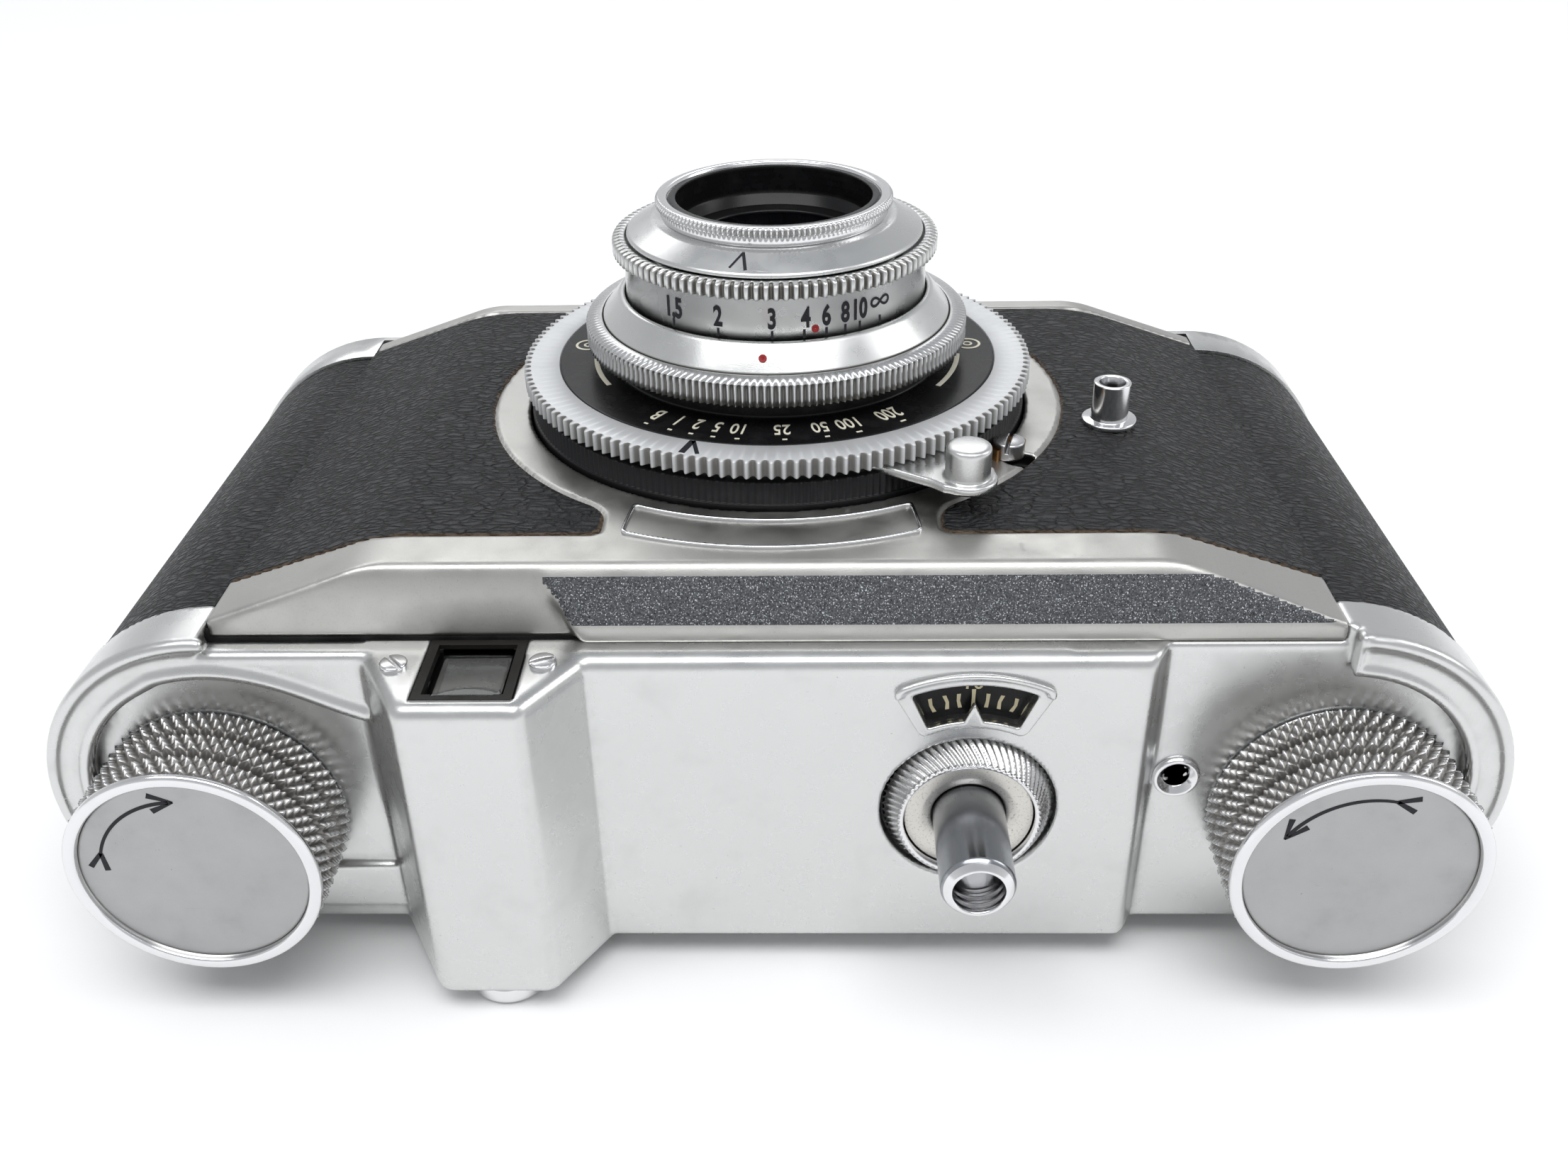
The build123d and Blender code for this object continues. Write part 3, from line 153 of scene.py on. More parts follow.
def metal(name, colour, rough, grain=0.25, corner_shade_weight=0.45, pits=0.5, brushed=None, spots=0.0,
          share=1.0):
    """Worn plating: fine grain, cloudy gloss, patchy painted shade in corners and grooves, a few pits and hairline
    scratches.

    brushed stretches a line pattern, spots adds dark tarnish, and share is how metallic the surface looks."""
    mat, tree, shader = nodes_of(name)
    g = Graph(tree)
    cloud = g.noise(g.mm, 0.22, 4, 0.6)
    fine = g.noise(g.mm, 9.0, 2, 0.6)
    # the corner and groove attributes are worked out from the shape; the colour darkens by them as painted shade
    corner_shade = g.math("MULTIPLY", g.attribute("corner_shade"), g.ramp(g.noise(g.mm, 0.9, 4, 0.6), 0.30, 0.75))
    speck = g.math("MULTIPLY", g.ramp(g.noise(g.mm, 2.3, 3, 0.75), 0.70, 0.74),
                   g.ramp(g.noise(g.mm, 0.35, 2), 0.45, 0.62))
    stain = g.math("MULTIPLY", g.ramp(cloud, 0.56, 0.72), 0.16)
    # pits and tarnish spots are wear; the corner and groove terms are painted shade
    wear_and_painted_light = g.math("ADD", g.math("MULTIPLY", corner_shade, corner_shade_weight), g.math("MULTIPLY", speck, pits))
    # painted shade in the grooves and on the shaded rows
    wear_and_painted_light = g.math("ADD", wear_and_painted_light, g.math("MULTIPLY", g.attribute("groove_shade"), 0.85))
    if spots:
        spot = g.math("MULTIPLY", g.ramp(g.noise(g.mm, 5.0, 3, 0.8), 0.56, 0.66), spots)
        wear_and_painted_light = g.math("ADD", wear_and_painted_light, spot)
    dark = tuple(c * 0.22 for c in (colour[0], colour[1] * 0.93, colour[2] * 0.82))
    tint = g.mix(stain, colour, tuple(c * 0.72 for c in colour))
    g.link(g.mix(g.ramp(wear_and_painted_light, 0, 1), tint, dark), shader.inputs["Base Color"])
    shader.inputs["Metallic"].default_value = share
    lines = g.noise(g.scaled(g.mm, (0.35, 0.35, 9.0)), 1.1, 2, 0.5, 0.6)
    scratch = g.ramp(lines, 0.72, 0.76)
    gloss = g.math("ADD", g.ramp(cloud, 0.3, 0.75, rough * 0.8, rough * 1.35),
                   g.math("MULTIPLY", scratch, 0.12))
    g.link(g.math("ADD", gloss, g.math("MULTIPLY", wear_and_painted_light, 0.35)), shader.inputs["Roughness"])
    height = fine
    if brushed is not None:
        lines = g.noise(g.scaled(g.mm, brushed), 1.0, 3, 0.6)
        height = g.math("ADD", height, g.math("MULTIPLY", lines, 1.4))
    g.link(g.bump(height, grain, 0.00002), shader.inputs["Normal"])
    return mat


def painted_dark_chamfer():
    """Dark metal for the chamfer: the dark base is painted reflection and the bright grains are painted glints."""
    mat, tree, shader = nodes_of("chamfer_painted_dark")
    g = Graph(tree)
    grain = g.noise(g.mm, 5.5, 2, 0.7)
    painted_glint = g.ramp(g.noise(g.mm, 8.5, 1, 0.5), 0.60, 0.72)
    # dark base colour stands in for the dark reflection; the bright grains are painted glints
    base = g.mix(g.ramp(grain, 0.3, 0.7), (0.030, 0.031, 0.034), (0.14, 0.145, 0.155))
    g.link(g.mix(painted_glint, base, (0.62, 0.64, 0.68)), shader.inputs["Base Color"])
    shader.inputs["Metallic"].default_value = 0.75
    g.link(g.ramp(grain, 0.2, 0.8, 0.42, 0.62), shader.inputs["Roughness"])
    g.link(g.bump(grain, 0.8, 0.00008), shader.inputs["Normal"])
    return mat


def leather():
    """Black leatherette with a fine wavy grain that runs across the body."""
    mat, tree, shader = nodes_of("black_leather")
    g = Graph(tree)
    warp = g.scaled(g.noise(g.mm, 0.45, out="Color"), 1.6)
    run = g.tree.nodes.new("ShaderNodeVectorMath")
    run.operation = "ADD"
    g.link(g.scaled(g.mm, (0.52, 1.35, 1.35)), run.inputs[0])
    g.link(warp, run.inputs[1])
    pebbles = g.ramp(g.cells(run.outputs[0], 1.25), 0.0, 0.30)
    waves = g.noise(g.scaled(g.mm, (0.45, 1.7, 1.7)), 1.5, 3, 0.55, 0.7)
    fine = g.noise(g.mm, 6.5, 2, 0.6)
    height = g.math("ADD", g.math("MULTIPLY", pebbles, 0.7),
                    g.math("ADD", waves, g.math("MULTIPLY", fine, 0.22)))
    wear = g.ramp(g.noise(g.mm, 0.16, 3, 0.6), 0.45, 0.75)
    # ridges of the grain lighter and hollows darker: painted highlight on the ridges, painted shade in the hollows
    base = g.mix(g.ramp(height, 0.55, 1.35), (0.003, 0.003, 0.0035), (0.024, 0.025, 0.027))
    wear_and_painted_light = g.mix(g.math("MULTIPLY", wear, 0.3), base, (0.030, 0.030, 0.031))
    # rubbed edges are a little brown
    edge = g.math("MULTIPLY", g.attribute("edge"), 0.75)
    g.link(g.mix(edge, wear_and_painted_light, (0.115, 0.075, 0.045)), shader.inputs["Base Color"])
    shader.inputs["Specular IOR Level"].default_value = 0.30
    g.link(g.ramp(height, 0.55, 1.4, 0.60, 0.36), shader.inputs["Roughness"])
    g.link(g.bump(height, 1.0, 0.00042), shader.inputs["Normal"])
    return mat


def paint(name, colour, rough, grain=0.2, dust=0.5):
    """Lacquer, plastic or ink with dust and rubbed places."""
    mat, tree, shader = nodes_of(name)
    g = Graph(tree)
    speck = g.ramp(g.noise(g.mm, 3.2, 3, 0.75), 0.69, 0.75)
    rub = g.ramp(g.noise(g.mm, 0.4, 3, 0.6), 0.52, 0.75)
    light = tuple(min(1, c * 3 + 0.05) for c in colour)
    base = g.mix(g.math("MULTIPLY", rub, 0.3), colour, tuple(min(1, c * 1.8 + 0.01) for c in colour))
    g.link(g.mix(g.math("MULTIPLY", speck, dust), base, light), shader.inputs["Base Color"])
    shader.inputs["Specular IOR Level"].default_value = 0.22
    g.link(g.ramp(rub, 0, 1, rough, rough * 1.5), shader.inputs["Roughness"])
    g.link(g.bump(g.noise(g.mm, 7.0, 2, 0.6), grain, 0.00002), shader.inputs["Normal"])
    return mat


def glass(name, tint, rough, coat):
    """Clear or coated glass with faint smears."""
    mat, tree, shader = nodes_of(name)
    g = Graph(tree)
    smear = g.noise(g.mm, 0.5, 3, 0.6)
    g.link(g.mix(g.ramp(smear, 0.4, 0.7), tint, tuple(c * 0.93 for c in tint)), shader.inputs["Base Color"])
    g.link(g.ramp(smear, 0.45, 0.8, rough, rough + 0.05), shader.inputs["Roughness"])
    shader.inputs["Transmission Weight"].default_value = 1.0
    shader.inputs["IOR"].default_value = 1.5
    shader.inputs["Coat Weight"].default_value = coat
    shader.inputs["Coat Tint"].default_value = (0.62, 0.66, 1.0, 1)
    return mat


CHROME = metal("satin_chrome", (0.66, 0.665, 0.66), 0.27, grain=0.22)
BRIGHT = metal("bright_chrome", (0.78, 0.78, 0.79), 0.15, grain=0.12, pits=0.4)
KNURL = metal("knurled_chrome", (0.62, 0.625, 0.63), 0.24, grain=0.2, pits=0.4)
PLATE = metal("satin_alloy", (0.50, 0.495, 0.475), 0.36, grain=0.4, corner_shade_weight=0.6, spots=0.10)
DISC = metal("spun_disc", (0.42, 0.42, 0.42), 0.42, grain=0.5, pits=0.7)
CAST = metal("blasted_ring", (0.60, 0.61, 0.62), 0.45, grain=0.3, pits=0.5, share=0.35)
TUBE = metal("gunmetal_tube", (0.33, 0.34, 0.36), 0.20, grain=0.15, brushed=(0.5, 12.0, 0.5))
TARNISH = metal("tarnished_brass", (0.66, 0.64, 0.60), 0.33, grain=0.4, spots=0.6)
BRASS = metal("brass", (0.42, 0.23, 0.10), 0.36, grain=0.4, spots=0.4)
STEEL = metal("steel", (0.56, 0.56, 0.57), 0.28, grain=0.3)
ALLOY = metal("cast_alloy", (0.26, 0.26, 0.265), 0.5, grain=0.8, spots=0.3)
SHEET = metal("sheet_alloy", (0.20, 0.20, 0.205), 0.5, grain=0.5)
BLADE = metal("blade_steel", (0.05, 0.05, 0.055), 0.4, grain=0.2)
CHAMFER_PAINTED_DARK = painted_dark_chamfer()
LEATHER = leather()
BLACK = paint("black_paint", (0.006, 0.006, 0.0065), 0.26)
BLACK_RIB = paint("black_rib", (0.008, 0.008, 0.009), 0.35, grain=0.3)
PLASTIC = paint("black_plastic", (0.010, 0.009, 0.008), 0.5)
INK = paint("black_ink", (0.014, 0.014, 0.018), 0.45, dust=0.2)
CREAM = paint("cream_ink", (0.66, 0.63, 0.52), 0.5, dust=0.0)
AGED = paint("aged_ink", (0.56, 0.50, 0.33), 0.5, dust=0.0)
RED = paint("red_dot", (0.26, 0.018, 0.02), 0.4, dust=0.1)
GLASS = glass("clear_glass", (0.30, 0.31, 0.31), 0.02, 0.0)
LENS = glass("coated_glass", (0.90, 0.93, 1.0), 0.01, 0.35)


# ---- meshes
def make(name, verts, faces, body, mats, slot=None, replaces=(), index=None, attributes=None, flat=False):
    """A piece from vertices in mm and faces, riding on a body."""
    mesh = bpy.data.meshes.new(name)
    verts = np.asarray(verts, float) * MM
    if isinstance(faces, np.ndarray):
        n, k = faces.shape
        mesh.vertices.add(len(verts))
        mesh.vertices.foreach_set("co", verts.astype(np.float32).ravel())
        mesh.loops.add(n * k)
        mesh.loops.foreach_set("vertex_index", faces.astype(np.int32).ravel())
        mesh.polygons.add(n)
        mesh.polygons.foreach_set("loop_start", np.arange(0, n * k, k, dtype=np.int32))
        mesh.update(calc_edges=True)
    else:
        mesh.from_pydata(verts.tolist(), [], faces)
    for key, values in (attributes or {}).items():
        mesh.attributes.new(key, "FLOAT", "POINT").data.foreach_set("value", values.astype(np.float32))
    for m in mats if isinstance(mats, (list, tuple)) else [mats]:
        mesh.materials.append(m)
    if index is not None:
        mesh.polygons.foreach_set("material_index", index.astype(np.int32))
    mesh.polygons.foreach_set("use_smooth", np.full(len(mesh.polygons), not flat))
    mesh.validate()
    obj = bpy.data.objects.new(name, mesh)
    bpy.context.scene.collection.objects.link(obj)
    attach(obj, body)
    if replaces:
        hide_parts(*replaces)
    return obj


def soft_min(a, b, k):
    h = np.maximum(k - np.abs(a - b), 0) / k
    return np.minimum(a, b) - h * h * k * 0.25


def soft_max(a, b, k):
    return -soft_min(-a, -b, k)


def slab(x, lo, hi):
    return np.maximum(lo - x, x - hi)


def rounded(k, *parts):
    """Intersection of several half spaces, with its edges rounded."""
    d = parts[0]
    for p in parts[1:]:
        d = soft_max(d, p, k)
    return d


def slot_2d(x, z, radius):
    return np.hypot(np.maximum(np.abs(x) - END_X, 0), z - END_Z) - radius


def field_mesh(field, lo, hi, step):
    """Quads over the surface where field(x, y, z) is zero, with each vertex moved on to it."""
    axes = [np.arange(a, b + step, step) for a, b in zip(lo, hi)]
    x, y, z = np.meshgrid(*axes, indexing="ij", sparse=True)
    value = np.broadcast_to(field(x, y, z), [len(a) for a in axes])
    inside = value < 0
    count = np.zeros([n - 1 for n in inside.shape], np.int8)
    corners = [(i, j, k) for i in (0, 1) for j in (0, 1) for k in (0, 1)]
    for c in corners:
        count += inside[tuple(slice(i, i + n - 1) for i, n in zip(c, inside.shape))]
    cell = np.argwhere((count > 0) & (count < 8))
    total, hits = np.zeros((len(cell), 3)), np.zeros(len(cell))
    at = lambda c: value[cell[:, 0] + c[0], cell[:, 1] + c[1], cell[:, 2] + c[2]]
    for c in corners:
        for axis in range(3):
            if c[axis] == 0:
                d = list(c)
                d[axis] = 1
                a, b = at(c), at(d)
                cut = (a < 0) != (b < 0)
                t = np.where(cut, a / np.where(cut, a - b, 1), 0)
                p = np.repeat(np.array([c], float), len(cell), 0)
                p[:, axis] += t
                total += p * cut[:, None]
                hits += cut
    verts = np.array([a[0] for a in axes]) + (cell + total / hits[:, None]) * step
    number = -np.ones(count.shape, np.int64)
    number[tuple(cell.T)] = np.arange(len(cell))
    quads = []
    for axis in range(3):
        u, v = [i for i in range(3) if i != axis]
        low = [slice(1, -1)] * 3
        low[axis] = slice(0, -1)
        high = list(low)
        high[axis] = slice(1, None)
        a, b = inside[tuple(low)], inside[tuple(high)]
        found = np.argwhere(a != b)
        if not len(found):
            continue
        flips = a[tuple(found.T)]
        found[:, u] += 1
        found[:, v] += 1
        ring = []
        for du, dv in ((-1, -1), (0, -1), (0, 0), (-1, 0)):
            q = found.copy()
            q[:, u] += du
            q[:, v] += dv
            ring.append(number[tuple(q.T)])
        ring = np.stack(ring, 1)
        if axis == 1:
            flips = ~flips
        ring[~flips] = ring[~flips][:, ::-1]
        quads.append(ring)
    quads = np.concatenate(quads)
    for _ in range(3):
        verts = pull(field, verts)
    return verts, quads


def gradient(field, v, e=0.01):
    g = np.zeros_like(v)
    for a in range(3):
        for s in (-1, 1):
            w = v.copy()
            w[:, a] += s * e
            g[:, a] += s * field(w[:, 0], w[:, 1], w[:, 2]) / (2 * e)
    return g


def pull(field, v):
    """Moves each vertex a short way towards the surface."""
    g = gradient(field, v)
    d = field(v[:, 0], v[:, 1], v[:, 2])
    size = np.maximum((g * g).sum(1), 0.2)
    return v - g * np.clip(d / size, -0.15, 0.15)[:, None]


def corner_shade_of(field, v, reach=0.9):
    """How deep in a corner each vertex lies, from 0 to 1; the metals darken by it as painted shade."""
    g = gradient(field, v)
    n = g / np.maximum(np.linalg.norm(g, axis=1), 1e-6)[:, None]
    out = v + n * reach
    return np.clip(1 - field(out[:, 0], out[:, 1], out[:, 2]) / reach, 0, 1) ** 0.8


def field_piece(name, field, lo, hi, step, body, mats, pick=None, edge=None, **more):
    v, q = field_mesh(field, lo, hi, step)
    index = pick(v[q].mean(1)) if pick else None
    # corner depth, which darkens the metals as painted shade
    marks = {"corner_shade": corner_shade_of(field, v)}
    if edge:
        marks["edge"] = edge(v)
    return make(name, v, q, body, mats, index=index, attributes=marks, **more)


def about_z(x=0.0, y=0.0, z=FRONT):
    """Turned pieces on the lens axis, or one parallel to it, with heights from the front of the casting."""
    return lambda v: v + np.array([x, y, z])


def about_y(x, z):
    """Turned pieces whose own Z points to the top plate, -Y."""
    return lambda v: np.stack([x + v[:, 0], -v[:, 2], z + v[:, 1]], 1)


def lathe(name, profile, around, place, body, mats, teeth=None, index=None, grimy=(), fill=0.42, **more):
    """Turns a closed outline of (radius, height) points about an axis.

    teeth(row, r, h, angle) gives a changed radius.

    Painted shade lies in the grooves between the teeth, full where they are as deep as fill, and on the listed
    shaded rows."""
    angle = np.arange(around) * TAU / around
    rows, groove_shade = [], []
    for i, (r, h) in enumerate(profile):
        radius = np.full(around, float(r)) if teeth is None else teeth(i, r, h, angle)
        groove_shade.append(np.clip((r - radius) / fill, 0, 1) ** 1.4 if i not in grimy else np.ones(around))
        rows.append(np.stack([radius * np.cos(angle), radius * np.sin(angle), np.full(around, float(h))], 1))
    verts = np.concatenate(rows)
    n = len(profile)
    i = np.repeat(np.arange(n), around)
    j = np.tile(np.arange(around), n)
    k = (j + 1) % around
    i2 = (i + 1) % n
    quads = np.stack([i * around + j, i * around + k, i2 * around + k, i2 * around + j], 1)
    picked = None if index is None else np.array(index)[i]
    marks = {"groove_shade": np.concatenate(groove_shade)}
    obj = make(name, place(verts), quads, body, mats, index=picked, attributes=marks, **more)
    obj.modifiers.new("flats", "WEIGHTED_NORMAL").mode = "FACE_AREA"
    return obj


def turned(name, node, body, around, mats, slot, points, place=about_z(), ease=0.0, **more):
    """Turned piece that stands for one CAD node; ease cuts its corners."""
    points = eased(points, ease) if ease else points
    lathe(name, points, around, place, body, mats, slot=slot, replaces=[node], **more)


def polar(radius, degrees):
    """2-D point at a radius and an angle."""
    a = math.radians(degrees)
    return np.array([math.cos(a), math.sin(a)]) * radius


def wave(t):
    """Triangle wave from 0 to 1."""
    return 1 - np.abs(2 * (t - np.floor(t)) - 1)


def eased(points, size=0.12):
    """Profile points with each corner cut into a small round edge."""
    out = []
    p = [np.array(q[:2], float) for q in points]
    n = len(p)
    for i in range(n):
        a, b, c = p[i - 1], p[i], p[(i + 1) % n]
        u, w = a - b, c - b
        lu, lw = np.linalg.norm(u), np.linalg.norm(w)
        s = min(size, lu * 0.4, lw * 0.4)
        e, f = b + u / lu * s, b + w / lw * s
        mid = (e + f) / 4 + b / 2
        out += [tuple(e), tuple(mid), tuple(f)]
    return out


def flat_piece(name, loops, place, thickness, body, mats):
    """Thin raised shapes: each loop of 2-D points gets a top and walls. place(u, v, w) maps to mm."""
    verts, faces = [], []
    for loop in loops:
        base = len(verts)
        n = len(loop)
        verts += [place(u, v, 0) for u, v in loop] + [place(u, v, thickness) for u, v in loop]
        faces.append(tuple(base + n + i for i in range(n)))
        faces.append(tuple(base + i for i in reversed(range(n))))
        faces += [(base + i, base + (i + 1) % n, base + n + (i + 1) % n, base + n + i) for i in range(n)]
    make(name, verts, faces, body, mats, flat=True)


# ---- top cover
def finder_block(x, y, z):
    """The housing of the finder, with sloping sides and rounded edges."""
    left = (-(x + 33.3) * 8.7 - (y - WELL_Y) * 4.8) / math.hypot(8.7, 4.8)
    right = ((x + 14.6) * 6.4 - (y - DECK_Y) * 4.2) / math.hypot(6.4, 4.2)
    top = FINDER_TOP_Y - y
    ends = soft_max(1.7 - z, z - SEAM_Z, 0.1)
    return soft_max(soft_max(rounded(0.9, left, top), right, 0.7), ends, 1.5)


def well_2d(x, z):
    """Outline of the left well: round about the knob, then straight to the housing."""
    round_end = np.hypot(x + END_X, z - END_Z) - WELL_R
    rear = np.maximum(np.abs(x + END_X) - WELL_R, z - END_Z)
    inner = np.maximum(np.maximum(-END_X - x, x + 24), z - 25.5)
    return soft_min(np.minimum(round_end, rear), inner, 6.5)


def right_well_2d(x, z):
    """Outline of the right well, open towards the raised middle and the front."""
    round_end = np.hypot(x - END_X, z - END_Z) - WELL_R
    rear = np.maximum(np.abs(x - END_X) - WELL_R, z - END_Z)
    middle = np.maximum(slab(x, 24.0, 46.0), z - 60)
    return np.minimum(np.minimum(round_end, rear), middle)


def cover_field(x, y, z):
    """Top cover: wells, beads, raised middle and finder housing, hollow inside the skirts."""
    out = slot_2d(x, z, COVER_R)
    plan = np.maximum(out, -np.maximum(SEAM_Z - z, np.abs(x) - END_X))
    ledge = rounded(0.8, plan, LEDGE_Y - y)
    # the rim bead runs round each end, and the inner bead along the wells
    rim = np.maximum(np.hypot(out + 0.62, y + 36.05) - 0.55, END_X - 0.5 - np.abs(x))
    body = soft_min(ledge, rim, 0.35)
    well = well_2d(x, z)
    floor_cut = np.maximum(well, np.minimum(y - WELL_Y, 9.0))
    body = soft_max(body, -np.maximum(floor_cut, x + 20), 0.7)
    bead = np.maximum(np.maximum(np.hypot(well - 0.05, y + 36.0) - 0.62, x + 31.0), out)
    body = soft_min(body, bead, 0.35)
    right = right_well_2d(x, z)
    body = soft_max(body, -np.maximum(np.maximum(right, y - WELL_Y), 20 - x), 0.7)
    bead = np.maximum(np.maximum(np.hypot(right - 0.05, y + 36.0) - 0.55, 46.0 - x), out)
    body = soft_min(body, bead, 0.35)
    # raised middle, with a sloping step at its right
    step = ((x - 31.6) * 2.3 - (y - WELL_Y) * 1.3) / math.hypot(2.3, 1.3)
    deck = rounded(1.5, DECK_Y - y, z - SEAM_Z)
    deck = rounded(0.6, deck, 2.5 - z, step)
    deck = np.maximum(np.maximum(deck, -24 - x), y + 33)
    body = soft_min(body, deck, 0.25)
    body = soft_min(body, np.maximum(finder_block(x, y, z), y + 33), 0.25)
    # low raised step at the rear of the left well, with a sloping left edge
    left_edge = (-(x + 41.5) - (9.3 - z) * 0.55) * 0.88
    rise = rounded(0.35, WELL_Y - 0.55 - y, y + 33.5, slab(z, 4.3, 9.3), x + 30, left_edge)
    body = soft_min(body, rise, 0.12)
    # skirts, hollow inside
    body = np.maximum(body, y - SKIRT_Y)
    body = np.maximum(body, -np.maximum(slot_2d(x, z, CHASSIS_R), -34.15 - y))
    # openings of the window, the setting ring, the counter and the side bush
    window = rounded(0.3, slab(x, -27.3, -19.4), slab(y, -42.2, -34.0), 30.7 - z)
    body = soft_max(body, -window, 0.15)
    r = np.hypot(x - RELEASE_X, z - RELEASE_Z)
    body = soft_max(body, -np.maximum(r - 7.35, y + 36.1), 0.2)
    a = np.abs(np.arctan2(x - RELEASE_X, z - RELEASE_Z))
    port = np.maximum(slab(r, 9.3, 13.0), (a - math.radians(23.2)) * 11)
    body = soft_max(body, -np.maximum(port, y + 35.5), 0.1)
    side = np.hypot(x - BUSH_X, z - BUSH_Z)
    return soft_max(body, -np.maximum(side - 1.5, y + 34.4), 0.1)


field_piece("top_cover_shell", cover_field, (-61.6, -44.1, 1.2), (61.6, -30.6, 34.2), 0.32, "camera_body",
            CHROME, slot="satin_chrome", replaces=["top_cover"])


# ---- front casting and leather
def front_surface(x, z, k=0.6):
    """Flat front with a slope towards each round end."""
    slope = ((np.abs(x) - 32.3) * 4.5 + (z - FRONT) * 13.2) / 13.946
    return soft_max(z - FRONT, slope, k)


def chamfer_plane(y, z):
    """Long chamfer towards the top plate."""
    return (-(y + 32.5) * 4.4 + (z - FRONT) * 2.3) / 4.965


def notch_2d(x, y):
    """Notch for the contact screw, beside the shutter."""
    return np.hypot((x - 21.9) * 0.95, (y + 14.6) * 1.15) - 1.45


def cast_field(x, y, z):
    front = front_surface(x, z)
    body = rounded(0.5, front, y - CAST_FAR_Y)
    body = np.maximum(np.maximum(body, np.abs(x) - END_X), np.where(y < -33.4, SEAM_Z - z, 32.3 - z))
    # narrow polished bevel, then the long chamfer down to the lip
    bevel = (-(y + 32.2) * 0.75 + (z - FRONT) * 1.0) / 1.25
    body = rounded(0.25, body, bevel)
    body = rounded(0.35, body, chamfer_plane(y, z), LIP_Y - y)
    # steeper relief in front of the finder
    relief = (-(y + 32.9) * 6.0 + (z - FRONT) * 1.0) / 6.083
    edge = x + 18.2 - (FRONT - z) * 0.5
    body = soft_max(body, -soft_max(-relief, edge, 1.2), 0.6)
    r = np.hypot(x, y)
    body = soft_max(body, -np.maximum(r - HOUSING_R - 0.25, 30 - z), 0.15)
    body = soft_max(body, -np.maximum(notch_2d(x, y), FRONT - 1.3 - z), 0.1)
    # the leather lies in a shallow recess
    pocket = leather_2d(x, y) - 0.12
    return soft_max(body, -np.maximum(pocket, -(front + 0.3)), 0.15)


def leather_2d(x, y):
    """Outline of the leather sheets seen from the front."""
    sheet = rounded(1.2, slab(y, -27.5, 21.9), 14.0 - np.abs(x))
    return soft_max(sheet, DISC_R - np.hypot(x, y), 1.6)


def cast_mark(centre):
    """1 on the chamfer, painted dark for its dark reflection with painted glints; 2 inside the notch, painted
    black as shade.
    """
    x, y, z = centre.T
    # the right part of the chamfer gets the dark metal with painted reflection and glints
    painted_chamfer = (y < -32.95) & (z > 33.9) & (np.abs(chamfer_plane(y, z)) < 0.12) & (x > -19.5)
    # inside the notch the hole is painted black as shade
    return np.where((notch_2d(x, y) < 0.05) & (z < FRONT - 0.25), 2, painted_chamfer.astype(int))


field_piece("front_casting_shell", cast_field, (-46.0, -35.4, 31.8), (46.0, 24.9, 38.8), 0.32, "camera_body",
            [PLATE, CHAMFER_PAINTED_DARK, BLACK], pick=cast_mark, slot="satin_alloy", replaces=["front_casting"])


def leather_field(side):
    def field(x, y, z):
        front = front_surface(x, z, 1.2)
        sheet = rounded(0.45, leather_2d(x, y), front - 0.02)
        sheet = np.maximum(np.maximum(sheet, -0.9 - front), side * -x)
        sheet = np.maximum(sheet, 1.75 - np.hypot(x - FLASH_X, y - FLASH_Y))
        sheet = np.maximum(sheet, np.abs(x) - END_X - 0.3)
        end = np.hypot(x - side * END_X, z - END_Z) - 15.3
        wrap = rounded(0.3, end, slab(y, -30.95, 20.45), -0.62 - end)
        wrap = np.maximum(np.maximum(wrap, END_X - side * x), 18.1 - z)
        return np.minimum(sheet, wrap)
    return field


def leather_edge(v):
    """The cut edge shows brown where the sheet meets the bare metal."""
    near = np.abs(leather_2d(v[:, 0], v[:, 1])) < 0.2
    return (near & (v[:, 2] > FRONT - 6) & (np.abs(v[:, 0]) < END_X - 0.3)).astype(float)


for side, label in ((-1, "left"), (1, "right")):
    lo_x, hi_x = sorted((side * 13.0, side * 61.5))
    field_piece(f"leather_{label}_grain", leather_field(side), (lo_x, -31.4, 17.8), (hi_x, 24.0, 38.6), 0.3,
                "camera_body", LEATHER, edge=leather_edge, slot="black_leather", replaces=[f"leather_{label}"])


# ---- small shaped parts on the deck and the front
def bezel_field(x, y, z):
    r = np.hypot(x - RELEASE_X, z - RELEASE_Z)
    a = np.abs(np.arctan2(x - RELEASE_X, z - RELEASE_Z))
    outer = rounded(0.9, slab(r, 8.7, 14.0), (a - math.radians(28.4)) * 11.4)
    inner = rounded(0.35, slab(r, 9.4, 12.9), (a - math.radians(23)) * 11.2)
    pointer = np.maximum(np.abs(x - RELEASE_X) * 0.93 - (11.1 - r) * 0.42, 9.0 - r)
    hole = np.maximum(inner, -pointer)
    plate = rounded(0.25, outer, -37.55 - y)
    # rolled edge along the far side
    rolled = np.maximum(np.hypot(outer + 0.22, y + 37.50) - 0.24, 13.2 - r)
    plate = soft_min(plate, rolled, 0.12)
    return np.maximum(soft_max(plate, -hole, 0.2), y + 36.9)


field_piece("counter_bezel_rim", bezel_field, (8.6, -38.2, 23.6), (23.8, -36.7, 31.4), 0.13, "camera_body",
            CHROME, slot="bright_chrome", replaces=["counter_bezel"])


def name_field(x, y, z):
    """Blank panel in front of the shutter, with a raised outline."""
    r = np.hypot(x, y)
    a = np.abs(np.arctan2(x, -y))
    panel = rounded(0.5, slab(r, 25.4, 30.35), (a - math.radians(26) - (28 - r) * 0.012) * 27)
    line = np.abs(panel + 0.28) - 0.16
    return soft_max(line, slab(z, FRONT - 0.3, FRONT + 0.28), 0.15)


field_piece("name_panel_rim", name_field, (-14.2, -31.0, 37.8), (14.2, -22.2, 38.7), 0.14, "camera_body",
            BRIGHT, slot="satin_alloy")


